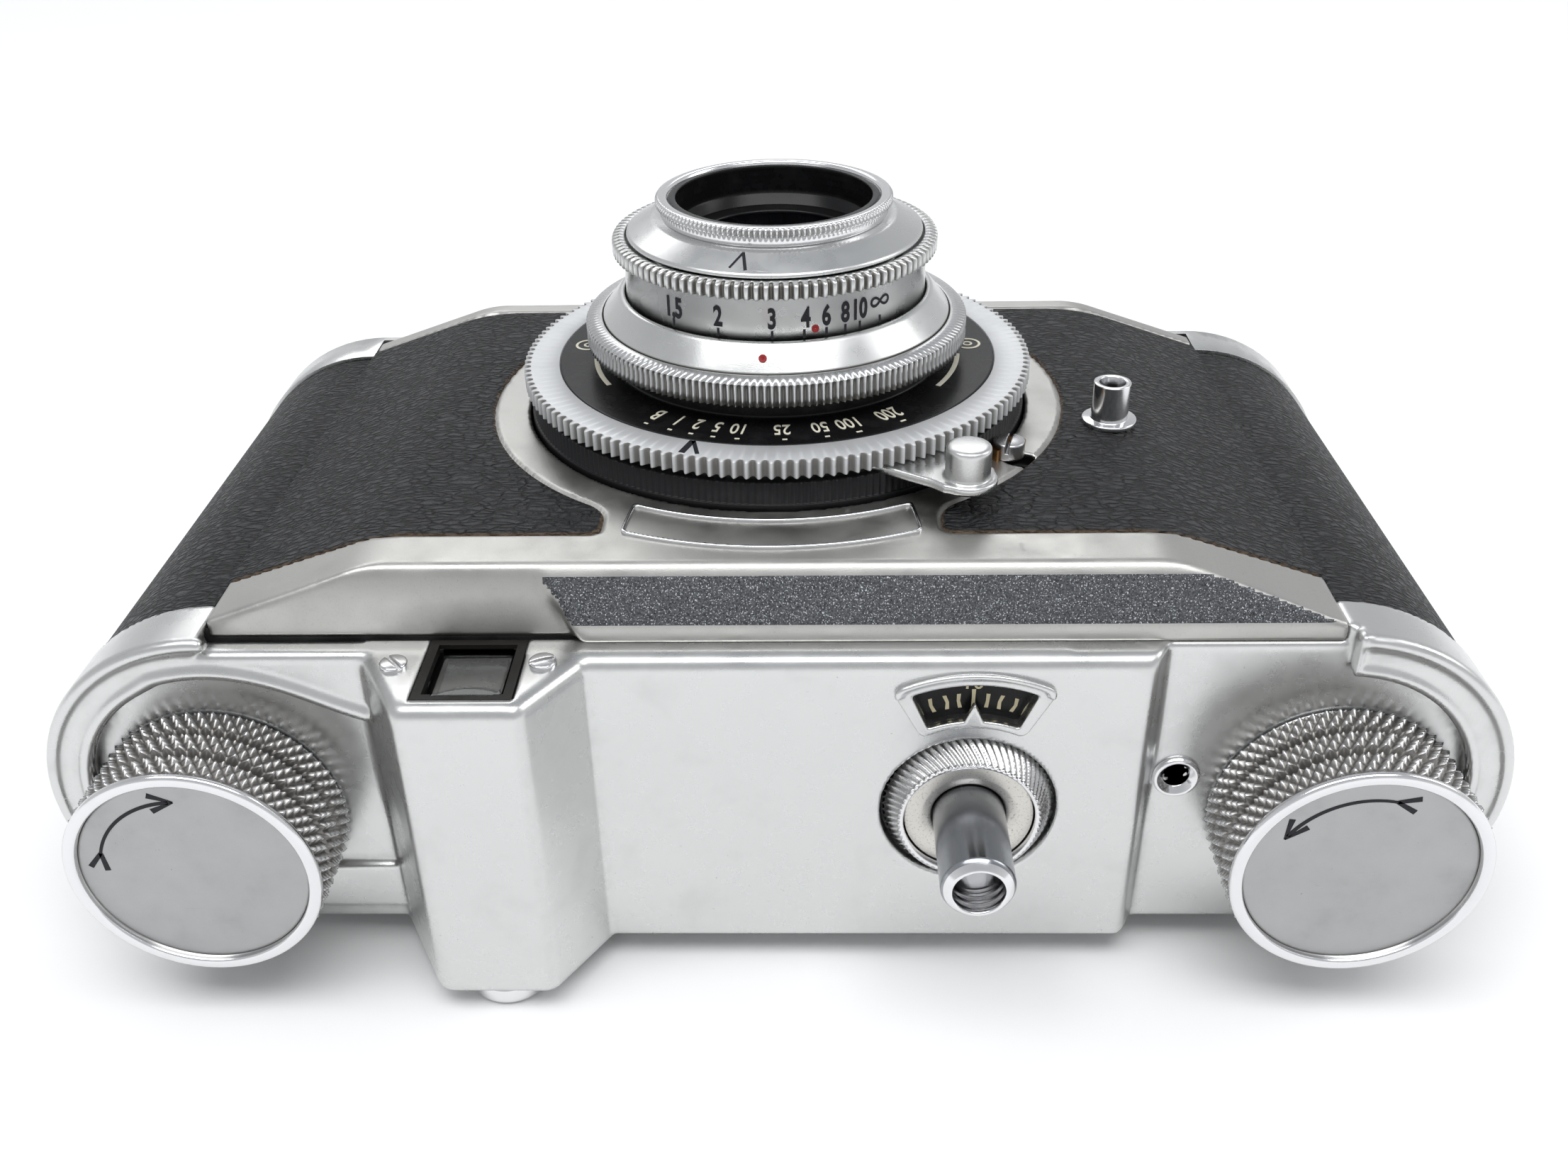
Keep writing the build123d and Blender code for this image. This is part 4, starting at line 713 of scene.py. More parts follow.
def lever_field(x, y, z):
    u = x * math.cos(LEVER) + y * math.sin(LEVER)
    v = -x * math.sin(LEVER) + y * math.cos(LEVER)
    r = np.hypot(x, y)
    plate = np.minimum(r - 22.2, np.hypot(u - LEVER_R, v) - 2.5)
    half = 2.5 + np.clip(LEVER_R - u, 0, 99) * 0.30
    arm = np.maximum(slab(u, 18.0, LEVER_R), np.abs(v + (LEVER_R - u) * 0.10) - half)
    plate = soft_min(plate, arm, 1.0)
    plate = np.maximum(plate, 20.35 - r)
    body = rounded(0.25, plate, slab(z, FRONT + 2.0, FRONT + 2.8))
    button = np.hypot(u - LEVER_R, v) - 1.9
    dome = z - (FRONT + 5.7) + np.hypot(u - LEVER_R, v) ** 2 * 0.03
    knob = rounded(0.35, button, dome, FRONT + 2.2 - z)
    return soft_min(body, knob, 0.15)


field_piece("cocking_lever_body", lever_field, (-22.6, -26.2, 39.9), (22.6, 22.6, 44.3), 0.2, "cocking_lever",
            CHROME, slot="bright_chrome", replaces=["cocking_lever"])


# ---- knobs
def diamond(angle, h, count, pitch):
    """Pyramids left between two crossing sets of grooves, from 0 to 1."""
    u = angle * count / TAU
    return np.minimum(wave(u + h / pitch), wave(u - h / pitch))


KNOB_R, TOOTH_ROOT_R, BAND_GROOVE_R = 10.6, 9.98, 9.35
# rows of the third kind are painted dark as shade in the band grooves and the knob's recess
PLAIN, TOOTHED, SHADED, END = range(4)


def knob_profile():
    """(radius, height, kind) points of a knob with three knurled bands."""
    base, top = KNOB_BASE, KNOB_TOP
    p = [(4.0, base + 1.0, PLAIN), (8.4, base + 1.0, PLAIN), (8.6, base, PLAIN), (10.1, base, PLAIN),
         (10.15, base + 0.05, PLAIN)]
    bands = ((base + 0.1, 37.25), (38.05, 40.05), (40.85, 43.0))
    for i, (lo, hi) in enumerate(bands):
        steps = 14
        p += [(BAND_GROOVE_R, lo, SHADED), (KNOB_R, lo, END)]
        p += [(KNOB_R, lo + 0.04 + (hi - lo - 0.08) * s / steps, TOOTHED) for s in range(steps + 1)]
        p += [(KNOB_R, hi, END), (BAND_GROOVE_R, hi, SHADED)]
        if i < 2:
            p += [(BAND_GROOVE_R - 0.05, h, SHADED) for h in (hi + 0.05, bands[i + 1][0] - 0.05)]
    p += [(9.95, 43.05, SHADED)]
    rim = ((10.28, 43.12), (10.38, 43.3), (10.36, 43.6), (10.2, 43.76), (10.0, top), (9.5, top), (9.38, 43.72),
           (9.32, 43.55))
    p += [(r, h, PLAIN) for r, h in rim]
    return p + [(9.32, 43.0, SHADED), (4.0, 43.0, SHADED)]


KNOB = knob_profile()


def knob_teeth(row, r, h, angle):
    if KNOB[row][2] not in (TOOTHED, END):
        return np.full(len(angle), float(r))
    return TOOTH_ROOT_R + (KNOB_R - TOOTH_ROOT_R) * diamond(angle, h, 60, 1.45)


CAP = [(0.02, 43.05), (9.3, 43.05), (9.3, 43.15), (9.2, 43.24), (9.02, CAP_TOP), (0.02, CAP_TOP)]
# band grooves and band ends of the knobs, and the edge of each cap disc, are painted dark as shade
for x, body in ((-KNOB_X, "rewind"), (KNOB_X, "advance")):
    name, place = body, about_y(x, KNOB_Z)
    turned(f"{name}_knob_knurled", f"{name}_knob", body, 600, BRIGHT, "satin_chrome", [p[:2] for p in KNOB], place,
           teeth=knob_teeth, grimy=[i for i, p in enumerate(KNOB) if p[2] in (SHADED, END)])
    turned(f"{name}_cap_disc", f"{name}_cap", body, 120, DISC, "bright_chrome", CAP, place, grimy=(0, 1, 2))


def arc_arrow(radius, start, end, width, barb, tail):
    """Loops of a curved arrow from start to end (degrees), with a barbed head and a feathered tail."""
    n = 28
    a = np.radians(np.linspace(start, end, n))
    taper = np.linspace(0.75, 1.0, n) * width / 2
    shaft = [((radius + t) * math.cos(b), (radius + t) * math.sin(b)) for b, t in zip(a, taper)]
    shaft += [((radius - t) * math.cos(b), (radius - t) * math.sin(b)) for b, t in zip(a[::-1], taper[::-1])]
    loops = [shaft]
    turn = 1 if end > start else -1

    def stroke(p, q, w0, w1):
        d = (q - p) / np.linalg.norm(q - p)
        m = np.array([-d[1], d[0]])
        return [tuple(p + m * w0), tuple(p - m * w0), tuple(q - m * w1), tuple(q + m * w1)]

    tips = ((end, 0.35, barb, 0.42, 0.25, 0.75), (start, 0, tail, 0.40, 0.5, 0.7))
    for degrees, nudge, size, spread, w0, w1 in tips:
        out = polar(1.0, degrees)
        ahead = np.array([-out[1], out[0]]) * turn
        tip = radius * out + ahead * nudge
        for s in (-1, 1):
            loops.append(stroke(tip, tip - ahead * size + out * s * size * spread, width * w0, width * w1))
    return loops


for x, name, start, end in ((-KNOB_X, "rewind", 163, 93), (KNOB_X, "advance", 78, 149)):
    loops = arc_arrow(7.45, start, end, 0.34, 1.9, 1.7)
    flat_piece(f"{name}_arrow", loops, lambda u, v, w, x=x: (x + u, -CAP_TOP - w, KNOB_Z + v), 0.03, name, INK)


# ---- frame counter and release
release = about_y(RELEASE_X, RELEASE_Z)
TUBE_END = [(2.05, 46.8), (2.25, 46.4), (2.05, 46.0), (2.25, 45.6), (2.05, 45.2), (2.25, 44.8), (2.05, 44.4),
            (2.05, 40.1), (0.02, 40.0), (0.02, 39.6), (2.05, 39.6)]
turned("release_tube", "release_plunger", "release", 96, [TUBE, BRIGHT], "bright_chrome",
       [(2.05, 33.7), (3.0, 33.7), (3.0, 46.3), (2.85, 46.55), (2.35, 47.1), (2.1, 47.1)] + TUBE_END, release, 0.1,
       index=[0] * 11 + [1] * 40)
turned("release_collar", "release_bush", "camera_body", 96, TARNISH, "bright_chrome",
       [(3.08, 33.4), (4.0, 33.4), (4.0, 36.0), (5.35, 36.1), (5.35, 38.0), (4.0, 38.0), (3.3, 37.8),
        (3.08, 37.6)], release, 0.12)


def ring_knurl(row, r, h, angle):
    if not 1 <= row <= 13:
        return np.full(len(angle), float(r))
    return r - 0.34 * wave(angle * 66 / TAU + (h - 36.2) * 0.95) ** 0.8


SET_RING = [(5.5, 36.25), (7.15, 36.3)]
SET_RING += [(7.18 - 1.22 * (s / 11) ** 1.25, 36.4 + 2.15 * s / 11) for s in range(12)]
SET_RING += [(5.9, 38.6), (5.55, 38.6), (5.45, 38.5)]
# painted shade in the knurl grooves of the setting ring
turned("setting_ring", "counter_ring", "counter", 528, BRIGHT, "bright_chrome", SET_RING, release,
       teeth=ring_knurl)


def counter_marks():
    loops = []
    for i in range(60):
        tall = 1.35 if i % 5 else 1.75
        d = polar(1.0, 90 + i * 6.0)
        m = np.array([-d[1], d[0]])
        p = d * 9.95
        q = d * (9.95 + tall)
        w = 0.16
        bend = m * 0.13 * math.sin(i * 2.4)
        mid = (p + q) / 2 + bend
        loops.append([tuple(p - m * w), tuple(mid - m * w * 0.85), tuple(q - m * w), tuple(q + m * w),
                      tuple(mid + m * w * 0.85), tuple(p + m * w)])
    return loops


flat_piece("counter_ticks", counter_marks(), lambda u, v, w: (RELEASE_X + u, COUNTER_Y - w, RELEASE_Z + v), 0.03,
           "counter", AGED)
turned("side_bush_ring", "side_bush", "camera_body", 72, BRIGHT, "bright_chrome",
       [(1.1, 34.0), (1.45, 34.0), (1.45, 34.85), (2.0, 34.9), (2.0, 35.2), (1.85, 35.4), (1.6, 35.4), (1.2, 35.0),
        (1.1, 34.9)], about_y(BUSH_X, BUSH_Z), 0.08)


def coil_tube(radius, wire, low, height, turns):
    """Wire wound into a spring; its axis points to the top plate."""
    n, k = int(turns * 28), 10
    t = np.linspace(0, 1, n)
    a = t * turns * TAU
    middle = np.stack([radius * np.cos(a), radius * np.sin(a), low + height * t], 1)
    out = np.stack([np.cos(a), np.sin(a), 0 * a], 1)
    up = np.array([0, 0, 1.0])
    rings = [middle + wire * (math.cos(b) * out + math.sin(b) * up) for b in np.arange(k) * TAU / k]
    verts = np.stack(rings, 1).reshape(-1, 3)
    quads = [(i * k + j, i * k + (j + 1) % k, (i + 1) * k + (j + 1) % k, (i + 1) * k + j)
             for i in range(n - 1) for j in range(k)]
    return verts, quads + [tuple(range(k))[::-1], tuple((n - 1) * k + j for j in range(k))]


verts, faces = coil_tube(2.25, 0.28, 28.8, 4.4, 3.5)
coil = make("release_coil", release(verts), faces, "camera_body", STEEL, slot="steel", replaces=["release_spring"])
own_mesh(coil)


# ---- finder window, eyepiece, screws
def frame_field(x, y, z):
    outer = rounded(0.4, slab(x, -27.25, -19.45), slab(y, -42.15, -34.05))
    inner = rounded(0.3, slab(x, -26.55, -20.15), slab(y, -41.45, -34.75))
    rim = np.maximum(outer, -inner)
    line = np.abs(outer + 0.38) - 0.08
    body = np.maximum(rim, slab(z, 30.6, 31.75))
    return np.minimum(body, np.maximum(line, slab(z, 31.5, 31.88)))


def frame_mark(centre):
    return (centre[:, 2] > 31.77).astype(int)


field_piece("finder_frame", frame_field, (-27.6, -42.5, 30.3), (-19.1, -33.7, 32.1), 0.1, "camera_body",
            [PLASTIC, AGED], pick=frame_mark)


def pane(name, lo, hi, body, mat, replaces, bulge=0.12):
    """Slightly domed pane of glass."""
    n = 9
    verts, faces = [], []
    for side in (0, 1):
        for i in range(n):
            for j in range(n):
                u, v = i / (n - 1), j / (n - 1)
                lift = bulge * 16 * u * (1 - u) * v * (1 - v)
                z = hi[2] + lift if side else lo[2]
                verts.append((lo[0] + (hi[0] - lo[0]) * u, lo[1] + (hi[1] - lo[1]) * v, z))
    at = lambda s, i, j: s * n * n + i * n + j
    for i in range(n - 1):
        for j in range(n - 1):
            faces.append((at(1, i, j), at(1, i + 1, j), at(1, i + 1, j + 1), at(1, i, j + 1)))
            faces.append((at(0, i, j), at(0, i, j + 1), at(0, i + 1, j + 1), at(0, i + 1, j)))
        for a, b in (((i, 0), (i + 1, 0)), ((i + 1, n - 1), (i, n - 1)), ((0, i + 1), (0, i)),
                     ((n - 1, i), (n - 1, i + 1))):
            faces.append((at(0, *a), at(0, *b), at(1, *b), at(1, *a)))
    make(name, verts, faces, body, mat, slot="optical_glass", replaces=replaces)


pane("finder_pane", (-26.55, -41.45, 31.2), (-20.15, -34.75, 31.5), "camera_body", GLASS, ["finder_window"])


def screw_head(name, x, y, z, radius, height, turn, body, mat, replaces=()):
    """Domed cheese head with a slot."""
    def field(px, py, pz):
        u, v = px - x, py - y
        r = np.hypot(u, v)
        across = u * math.sin(turn) - v * math.cos(turn)
        dome = pz - (z + height) + r * r * 0.10
        body = rounded(0.15, r - radius, dome, z - 0.2 - pz)
        return soft_max(body, -np.maximum(np.abs(across) - 0.17, z + height * 0.35 - pz), 0.05)
    pad = radius + 0.3
    field_piece(name, field, (x - pad, y - pad, z - 0.3), (x + pad, y + pad, z + height + 0.3), 0.08, body, mat,
                replaces=replaces, slot="bright_chrome")


screw_head("finder_screw_left", -29.45, -37.7, SEAM_Z, 1.1, 0.5, math.radians(-50), "camera_body", BRIGHT,
           ["finder_screws"])
screw_head("finder_screw_right", -17.75, -37.5, SEAM_Z, 1.1, 0.5, math.radians(22), "camera_body", BRIGHT)
turned("eyepiece_rim", "eyepiece_ring", "camera_body", 96, BRIGHT, "bright_chrome",
       [(2.05, 0.2), (2.75, 0.15), (3.5, 0.3), (3.6, 0.6), (3.6, 1.9), (2.75, 1.9), (2.75, 2.5), (2.05, 2.5)],
       about_z(FINDER_X, EYE_Y, 0.0), 0.15)


# ---- shutter and lens
def ribs(rows, count, depth, gain=1.0, loss=0.0):
    """Ribs on some rows of a turned piece; gain and loss make them narrower, with flat valleys."""
    def teeth(row, r, h, angle):
        if row not in rows:
            return np.full(len(angle), float(r))
        return r - depth * np.clip(gain * wave(angle * count / TAU) - loss, 0, 1)
    return teeth


turned("shutter_barrel", "shutter_housing", "camera_body", 960, BLACK_RIB, "black_paint",
       [(19.5, -4.3), (9.2, -4.3), (9.2, -5.2), (23.6, -5.2), (23.6, 0.25), (23.45, 0.3), (23.4, 0.35),
        (23.4, 2.2), (23.1, 2.3), (22.5, 2.35), (20.3, 2.4), (20.25, 2.4), (20.25, 4.2), (19.5, 4.2)],
       teeth=ribs((6, 7), 240, 0.18))
# painted shade in the notches of the speed ring
turned("speed_ring_serrated", "speed_ring", "speed_ring", 1152, CAST, "satin_chrome",
       [(20.32, 3.0), (24.0, 3.0), (24.0, 3.1), (24.0, 3.7), (24.0, 4.4), (23.96, 4.49), (23.35, 4.5),
        (20.72, 4.5), (20.68, 4.42), (20.68, 4.2), (20.32, 4.2)],
       teeth=ribs(range(1, 6), 144, 0.62, 1.5, 0.2), fill=0.36)
turned("scale_plate", "shutter_face", "camera_body", 240, BLACK, "black_paint",
       [(12.8, 4.25), (12.8, 6.3), (12.9, 6.4), (15.3, 6.4), (15.4, 6.3), (15.42, 4.75), (15.55, 4.55),
        (15.8, 4.5), (20.45, 4.5), (20.6, 4.42), (20.6, 4.28), (19.4, 4.25), (19.4, 3.2), (13.0, 3.2)])
# painted shade in the knurl grooves and on two rows at the gap to the cone
turned("clamp_ring_knurled", "clamp_ring", "clamp_ring", 1056, KNURL, "satin_chrome",
       [(12.7, 6.5), (17.6, 6.5), (17.85, 6.6), (17.85, 7.2), (17.85, 7.9), (17.85, 8.5), (17.72, 8.64),
        (16.55, 8.96), (16.38, 8.98), (16.3, 8.93), (16.3, 8.76), (12.7, 8.75)],
       teeth=ribs(range(1, 6), 176, 0.42), grimy=(9, 10), fill=0.30)
# rows at the gaps to the clamp and focus rings are painted dark as shade
turned("index_cone", "lens_barrel", "camera_body", 240, CHROME, "satin_chrome",
       [(10.95, 4.0), (12.55, 4.0), (12.55, 8.8), (16.1, 8.8), (16.2, 8.85), (16.2, 8.98), (16.15, 9.12),
        (14.72, 10.88), (14.5, 11.08), (14.3, 11.15), (14.1, 11.13), (14.05, 11.0), (14.05, 9.6), (12.2, 9.6),
        (12.2, 15.1), (10.95, 15.1)], grimy=(4, 5, 12))
# painted shade in the rib valleys of the focus ring
turned("focus_ring_ribbed", "focus_ring", "focus_ring", 1320, CHROME, "satin_chrome",
       [(12.3, 9.7), (13.8, 9.7), (SCALE_R, 9.8), (SCALE_R, 14.75), (14.0, 14.85), (14.55, 14.9), (14.85, 15.0),
        (14.9, 15.15), (14.9, 16.05), (14.8, 16.22), (14.55, 16.33), (14.2, 16.4), (13.75, 16.4), (13.7, 16.3),
        (13.7, 15.3), (12.3, 15.25)],
       teeth=ribs(range(5, 11), 110, 0.50, 1.9, 0.6), fill=0.32)
CONE = [(10.85, 5.1), (10.85, 16.4), (13.5, 16.4), (13.55, 16.5), (13.5, 16.72), (13.3, 16.85), (11.4, 17.9),
        (11.0, 17.98), (9.6, 18.0)]
BORE = [(9.6, 19.5), (9.5, 19.6), (9.0, 19.6), (8.9, 19.5), (9.05, 19.2), (8.9, 18.9), (9.05, 18.6), (8.9, 18.3),
        (9.05, 18.0), (8.9, 17.7), (9.05, 17.4), (8.9, 17.1), (8.9, 16.9), (8.6, 16.85), (8.6, 15.5), (8.2, 15.5),
        (8.2, 10.2), (9.4, 10.2), (9.4, 6.2), (6.5, 6.2), (6.5, 5.1)]
turned("lens_cell_turned", "lens_cell", "lens", 240, [CHROME, BLACK], "bright_chrome", CONE + BORE,
       index=[0] * len(CONE) + [1] * len(BORE))
# painted shade in the rib valleys of the aperture ring
turned("aperture_ring_turned", "aperture_ring", "aperture_ring", 840, BRIGHT, "satin_chrome",
       [(9.68, 18.1), (10.3, 18.1), (10.35, 18.2), (10.3, 18.45), (10.35, 18.75), (10.6, 19.0), (10.78, 19.1),
        (10.78, 19.55), (10.65, 19.72), (10.4, 19.8), (9.9, 19.8), (9.7, 19.7)],
       teeth=ribs((5, 6, 7), 140, 0.34))
turned("name_ring", "retaining_ring", "lens", 160, BLACK, "black_paint",
       [(8.55, 15.5), (8.55, 15.95), (8.45, 16.0), (7.35, 15.82), (7.2, 15.75), (7.15, 15.5)])


def dome(name, node, radius, low, edge, rise):
    """Lens element with a curved front."""
    pts = [(0.02, low), (radius, low), (radius, edge)]
    for s in range(1, 15):
        r = radius * (1 - s / 14)
        pts.append((max(r, 0.02), edge + rise * (1 - (r / radius) ** 2)))
    turned(name, node, "lens", 96, LENS, "optical_glass", pts)


dome("front_element", "front_lens", 8.1, 11.6, 13.4, 1.45)
dome("rear_element", "rear_lens", 6.4, 5.15, 5.6, 0.4)


# ---- lettering: figures only
def outline(text, size, stretch, depth, bold):
    """Vertices in mm, centred, and faces of a figure made from the built-in font."""
    curve = bpy.data.curves.new("figure", "FONT")
    curve.body = text
    curve.size = size
    curve.align_x = "CENTER"
    curve.extrude = depth / 2
    curve.offset = bold
    curve.resolution_u = 4
    obj = bpy.data.objects.new("figure", curve)
    bpy.context.scene.collection.objects.link(obj)
    bpy.context.view_layer.update()
    mesh = bpy.data.meshes.new_from_object(obj.evaluated_get(bpy.context.evaluated_depsgraph_get()))
    co = np.array([v.co for v in mesh.vertices], float).reshape(-1, 3)
    faces = [tuple(p.vertices) for p in mesh.polygons]
    bpy.data.objects.remove(obj)
    bpy.data.curves.remove(curve)
    bpy.data.meshes.remove(mesh)
    co[:, 0] *= stretch
    return co, faces


def gather(name, parts, body, mat):
    """One flat-shaded piece from several meshes."""
    verts, faces, base = [], [], 0
    for co, f in parts:
        verts.append(co)
        faces += [tuple(base + i for i in p) for p in f]
        base += len(co)
    make(name, np.concatenate(verts), faces, body, mat, flat=True)


def bar(w, h, depth=0.03):
    """Upright bar with its foot at the origin."""
    flat = ((-w / 2, 0), (w / 2, 0), (w / 2, h), (-w / 2, h))
    co = np.array([(x, y, z) for z in (-depth / 2, depth / 2) for x, y in flat])
    return co, [(3, 2, 1, 0), (4, 5, 6, 7), (0, 1, 5, 4), (1, 2, 6, 5), (2, 3, 7, 6), (3, 0, 4, 7)]


def on_cylinder(co, angle, radius, z):
    """Wraps flat figures on the scale barrel, upright along the lens axis."""
    a = math.radians(angle) + co[:, 0] / radius
    r = radius + co[:, 2]
    return np.stack([r * np.cos(a), r * np.sin(a), z + co[:, 1]], 1)


def on_plate(co, angle, radius, z):
    """Lays flat figures on a face of the shutter, with their tops pointing outwards."""
    out = polar(1.0, angle)
    side = np.array([out[1], -out[0]])
    flat = out * radius + co[:, 1:2] * out + co[:, 0:1] * side
    return np.concatenate([flat, z + co[:, 2:3]], 1)


def infinity():
    """Band along a lying figure of eight."""
    n, w = 40, 0.22
    t = np.arange(n) * TAU / n
    k = 1.0 / (1 + np.sin(t) ** 2)
    line = np.stack([k * np.cos(t), 1.05 * k * np.sin(t) * np.cos(t)], 1)
    d = np.roll(line, -1, 0) - np.roll(line, 1, 0)
    m = np.stack([-d[:, 1], d[:, 0]], 1) / np.linalg.norm(d, axis=1)[:, None] * w / 2
    co = np.concatenate([np.concatenate([line + s * m, np.full((n, 1), h)], 1)
                         for h in (-0.015, 0.015) for s in (-1, 1)])
    co[:, 1] += 0.75
    faces = []
    for i in range(n):
        j = (i + 1) % n
        faces += [(i, j, n + j, n + i), (2 * n + i, 3 * n + i, 3 * n + j, 2 * n + j),
                  (i, 2 * n + i, 2 * n + j, j), (n + i, n + j, 3 * n + j, 3 * n + i)]
    return co, faces


scale = []
METRES = (("1,5", -128.3), ("2", -109.5), ("3", -90.0), ("4", -78.0), ("6", -70.5), ("8", -63.2), ("10", -57.4))
for text, angle in METRES:
    co, faces = outline(text, 2.5, 0.66, 0.05, 0.075)
    scale.append((on_cylinder(co, angle, SCALE_R, FRONT + 12.2), faces))
co, faces = infinity()
scale.append((on_cylinder(co, -48.0, SCALE_R, FRONT + 12.5), faces))
for angle in (-128.3, -109.5, -90.0, -78.6, -70.5, -63.2, -57.2, -48.0):
    co, faces = bar(0.22, 0.75, 0.05)
    scale.append((on_cylinder(co, angle, SCALE_R, FRONT + 11.2), faces))
gather("distance_scale", scale, "focus_ring", INK)

co, faces = outline("10", 1.9, 0.95, 0.03, 0.01)
flat = np.stack([RELEASE_X - 0.1 + co[:, 0], COUNTER_Y - 0.02 - co[:, 2], RELEASE_Z + 11.75 + co[:, 1]], 1)
make("counter_figure", flat, faces, "counter", AGED, flat=True)
speeds = []
for text, angle in (("B", -124.8), ("1", -117.5), ("2", -111.5), ("5", -105.6), ("10", -99.4), ("25", -87.5),
                    ("50", -76.8), ("100", -68.4), ("200", -55.6)):
    co, faces = outline(text, 2.7, 0.58, 0.04, 0.02)
    speeds.append((on_plate(co, angle, 16.8, FRONT + 4.52), faces))
    co, faces = bar(0.42 if len(text) < 3 else 0.55, 0.2, 0.04)
    speeds.append((on_plate(co, angle + 0.6, 19.5, FRONT + 4.52), faces))
for angle in (-165.0, -17.8):
    n = 16
    a = np.radians(np.linspace(angle - 13, angle + 13, n))
    co = np.concatenate([np.stack([r * np.cos(a), r * np.sin(a), np.full(n, FRONT + h)], 1)
                         for h in (4.5, 4.54) for r in (16.95, 17.4)])
    faces = []
    for i in range(n - 1):
        faces += [(i + 1, i, n + i, n + i + 1), (2 * n + i, 2 * n + i + 1, 3 * n + i + 1, 3 * n + i),
                  (i, i + 1, 2 * n + i + 1, 2 * n + i), (n + i + 1, n + i, 3 * n + i, 3 * n + i + 1)]
    faces += [(0, 2 * n, 3 * n, n), (n - 1, 2 * n - 1, 4 * n - 1, 3 * n - 1)]
    speeds.append((co, faces))
gather("speed_scale", speeds, "camera_body", CREAM)
for i, angle in enumerate((175.5, 3.3)):
    for j, (a, b) in enumerate(((1.02, 1.28), (0.28, 0.5))):
        ring = [(a, 4.5), (a, 4.54), (b, 4.54), (b, 4.5)]
        lathe(f"plate_circle_{i + 1}_{j + 1}", ring, 48, about_z(*polar(18.3, angle)), "camera_body", CREAM)


def strokes(pairs, width):
    """Straight strokes between pairs of points, as bars."""
    parts = []
    for (x0, y0), (x1, y1), w in pairs:
        d = np.array([x1 - x0, y1 - y0])
        length = np.linalg.norm(d)
        d /= length
        co, faces = bar(w * width, length)
        flat = np.array([x0, y0]) + co[:, 1:2] * d + co[:, 0:1] * np.array([d[1], -d[0]])
        parts.append((np.concatenate([flat, co[:, 2:3]], 1), faces))
    return parts


index = []
for co, faces in strokes((((-0.95, 2.2), (0.25, 0.0), 0.62), ((0.42, 2.35), (0.30, 0.0), 1.0)), 0.58):
    index.append((on_plate(co, -108.0, 20.78, FRONT + 4.505), faces))
gather("speed_index", index, "speed_ring", INK)
index = []
for co, faces in strokes((((-0.75, 0.0), (0.1, 1.75), 0.7), ((0.62, -0.15), (0.1, 1.75), 1.1)), 0.26):
    a = math.radians(-102.5) + co[:, 0] / 12.5
    up = co[:, 1] + 0.55
    r = 13.4 - up * 0.868
    z = FRONT + 16.80 + up * 0.497 + co[:, 2] + 0.01
    index.append((np.stack([r * np.cos(a), r * np.sin(a), z], 1), faces))
gather("aperture_index", index, "lens", INK)


def dot(name, angle, radius, z, tilt, size, body):
    """Small paint-filled dimple."""
    a = math.radians(angle)
    n = Vector((math.cos(a) * math.cos(tilt), math.sin(a) * math.cos(tilt), math.sin(tilt)))
    turn = n.to_track_quat("Z", "Y").to_matrix()
    rows = [(0.02, 0.0), (size * 0.6, 0.0), (size * 0.85, 0.03), (size, 0.02), (size, -0.1), (0.02, -0.1)]
    origin = np.array([radius * math.cos(a), radius * math.sin(a), FRONT + z])
    lathe(name, rows, 32, lambda v: origin + v @ np.array(turn).T, body, RED)


dot("index_dot", -93.0, 15.40, 10.1, math.radians(40), 0.36, "camera_body")
dot("scale_dot", -74.6, SCALE_R, 11.95, 0.0, 0.34, "focus_ring")


# ---- flash socket, arm and screw on the front
flash = about_z(FLASH_X, FLASH_Y)
turned("flash_tube", "flash_socket", "camera_body", 72, BRIGHT, "bright_chrome",
       [(1.2, -0.5), (1.6, -0.5), (1.6, 0.0), (2.5, 0.0), (2.5, 0.45), (1.7, 0.45), (1.7, 4.0), (1.2, 4.0)],
       flash, 0.1)
turned("flash_pin", "flash_contact", "camera_body", 48, PLASTIC, "black_plastic",
       [(0.02, -0.5), (1.19, -0.5), (1.19, 1.2), (0.45, 1.2), (0.45, 3.1), (0.3, 3.2), (0.02, 3.2)], flash, 0.05)
SCREW_X, SCREW_Y = polar(25.0, -33.5)


def arm_field(x, y, z):
    """Thin curved arm behind the screw, upright against the shutter."""
    r = np.hypot(x - SCREW_X, y - SCREW_Y)
    behind = (x - SCREW_X) * 0.84 - (y - SCREW_Y) * 0.55 + 0.15
    collar = rounded(0.1, np.abs(r - 1.62) - 0.16, behind, slab(z, FRONT - 0.1, FRONT + 1.5))
    a = np.abs(np.arctan2(y, x) + math.radians(31.5))
    foot = rounded(0.15, slab(np.hypot(x, y), 23.9, 25.4), (a - math.radians(5)) * 25,
                   slab(z, FRONT - 0.1, FRONT + 0.45))
    return np.minimum(collar, foot)


field_piece("contact_arm", arm_field, (17.0, -19.2, 37.8), (24.5, -10.0, 39.3), 0.12, "camera_body", BRASS,
            slot="brass", replaces=["sync_arm"])
screw_head("contact_screw", SCREW_X, SCREW_Y, FRONT + 0.2, 1.4, 1.5, math.radians(75), "camera_body", STEEL)


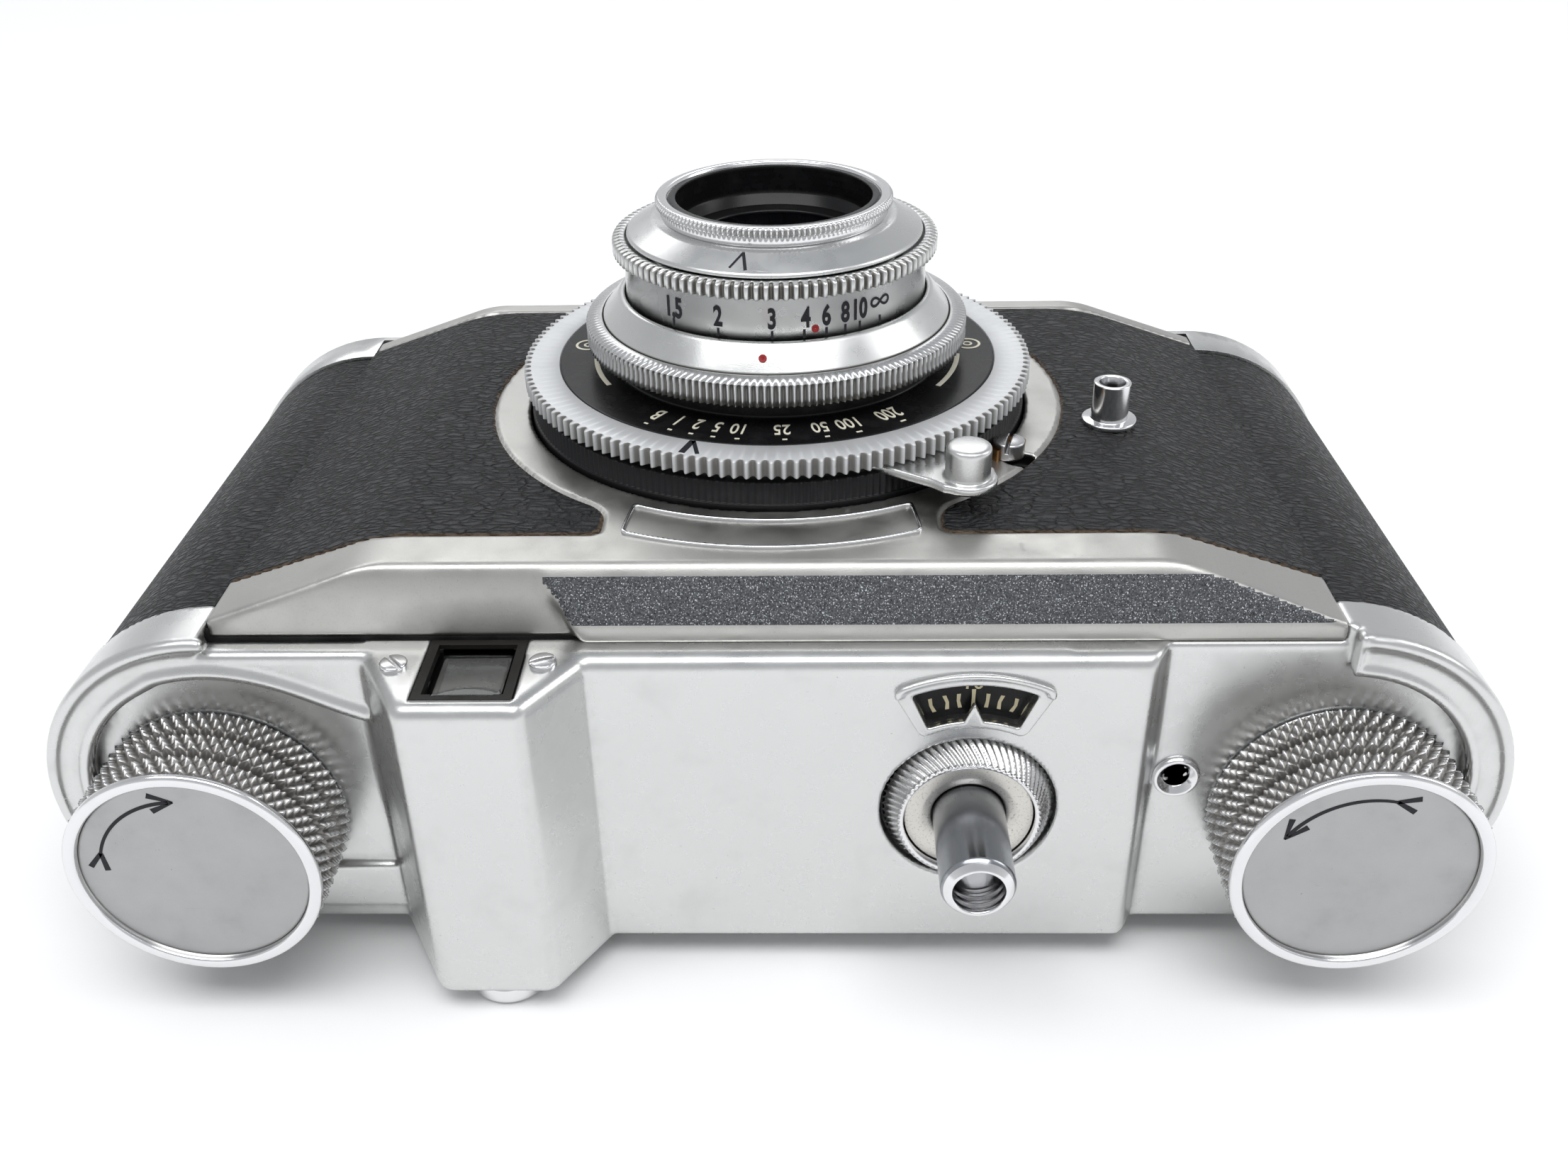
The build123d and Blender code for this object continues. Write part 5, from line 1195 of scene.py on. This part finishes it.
# ---- CAD nodes that stay: softer edges and finishes
FINISH = (
    (ALLOY, "chassis film_wells film_gate"), (PLASTIC, "finder_tube takeup_spool"), (GLASS, "finder_eye_lens"),
    (STEEL, "rewind_shaft rewind_sleeve advance_shaft sprocket blade_ring pressure_plate"),
    (BRASS, "idler_gear tripod_bush"), (BLACK, "counter_disc"), (SHEET, "back_shell"), (LEATHER, "back_leather"),
    (CHROME, "base_cover"), (BRIGHT, "lock_key_1 lock_key_2"),
    (BLADE, "shutter_blade_1 shutter_blade_2 shutter_blade_3"),
    (BLADE, "iris_blade_1 iris_blade_2 iris_blade_3 iris_blade_4 iris_blade_5"),
)
BEVELS = {"back_leather": 0.3, "base_cover": 0.35, "tripod_bush": 0.2, "lock_key_1": 0.15, "lock_key_2": 0.15,
          "pressure_plate": 0.12, "back_shell": 0.1}
for mat, names in FINISH:
    for name in names.split():
        materials = NODES[name].data.materials
        materials.clear()
        materials.append(mat)
for name, width in BEVELS.items():
    weld = NODES[name].modifiers.new("weld", "WELD")
    weld.merge_threshold = 1e-6
    bevel = NODES[name].modifiers.new("edge", "BEVEL")
    bevel.width = width * MM
    bevel.segments = 2
    bevel.limit_method = "ANGLE"
    bevel.angle_limit = math.radians(40)
    bevel.harden_normals = True


# ---- floor, light, camera
FLOOR = (0.90, 0.90, 0.90)
mat, tree, shader = nodes_of("pale_floor")
g = Graph(tree)
g.link(g.mix(g.noise(g.mm, 0.01, 2), FLOOR, tuple(c * 0.985 for c in FLOOR)), shader.inputs["Base Color"])
shader.inputs["Roughness"].default_value = 0.8
bpy.ops.mesh.primitive_plane_add(size=6, location=(0, 0, -0.00001))
floor = bpy.context.object
floor.name = "floor"
floor.data.materials.append(mat)

world = bpy.data.worlds.new("studio")
bpy.context.scene.world = world
world.use_nodes = True
tree = world.node_tree
g = Graph(tree)
split = tree.nodes.new("ShaderNodeSeparateXYZ")
g.link(tree.nodes["Texture Coordinate"].outputs["Generated"], split.inputs[0])
height = g.ramp(split.outputs[2], 0.0, 0.9)
g.link(g.mix(height, (0.86, 0.87, 0.88), (0.52, 0.54, 0.57)), tree.nodes["Background"].inputs["Color"])
tree.nodes["Background"].inputs["Strength"].default_value = 0.82


def softbox(name, place, size, power):
    """Rectangular lamp that points at the middle of the camera; metres and watts."""
    data = bpy.data.lights.new(name, "AREA")
    data.shape = "RECTANGLE"
    data.size, data.size_y = size
    data.energy = power
    obj = bpy.data.objects.new(name, data)
    bpy.context.scene.collection.objects.link(obj)
    obj.location = place
    obj.rotation_mode = "QUATERNION"
    obj.rotation_quaternion = (Vector(place) - AIM).to_track_quat("Z", "Y")


AIM = Vector((0, 0, 0.02))
softbox("key", (-0.05, -0.30, 0.95), (1.2, 0.5), 8.0)
softbox("side", (0.9, 0.1, 0.6), (0.4, 0.6), 2.0)
softbox("back", (-0.2, 0.9, 0.75), (1.1, 0.35), 2.6)

FOCAL, EYE = 33.73, (0.00358, -0.13164, 0.09765)
PITCH, YAW, ROLL = math.radians(31.88), math.radians(-1.44), math.radians(-1.03)
camera = bpy.data.cameras.new("camera")
camera.sensor_width = 36
camera.lens = FOCAL
camera.clip_start = 0.005
view = bpy.data.objects.new("camera", camera)
bpy.context.scene.collection.objects.link(view)
bpy.context.scene.camera = view
ahead = Vector((math.sin(YAW) * math.cos(PITCH), math.cos(YAW) * math.cos(PITCH), -math.sin(PITCH)))
level = Vector((math.cos(YAW), -math.sin(YAW), 0))
above = level.cross(ahead)
right = level * math.cos(ROLL) + above * math.sin(ROLL)
up = -level * math.sin(ROLL) + above * math.cos(ROLL)
turn = Matrix((right, up, -ahead)).transposed().to_4x4()
view.matrix_world = Matrix.Translation(EYE) @ turn

bpy.context.scene.view_settings.view_transform = "Standard"
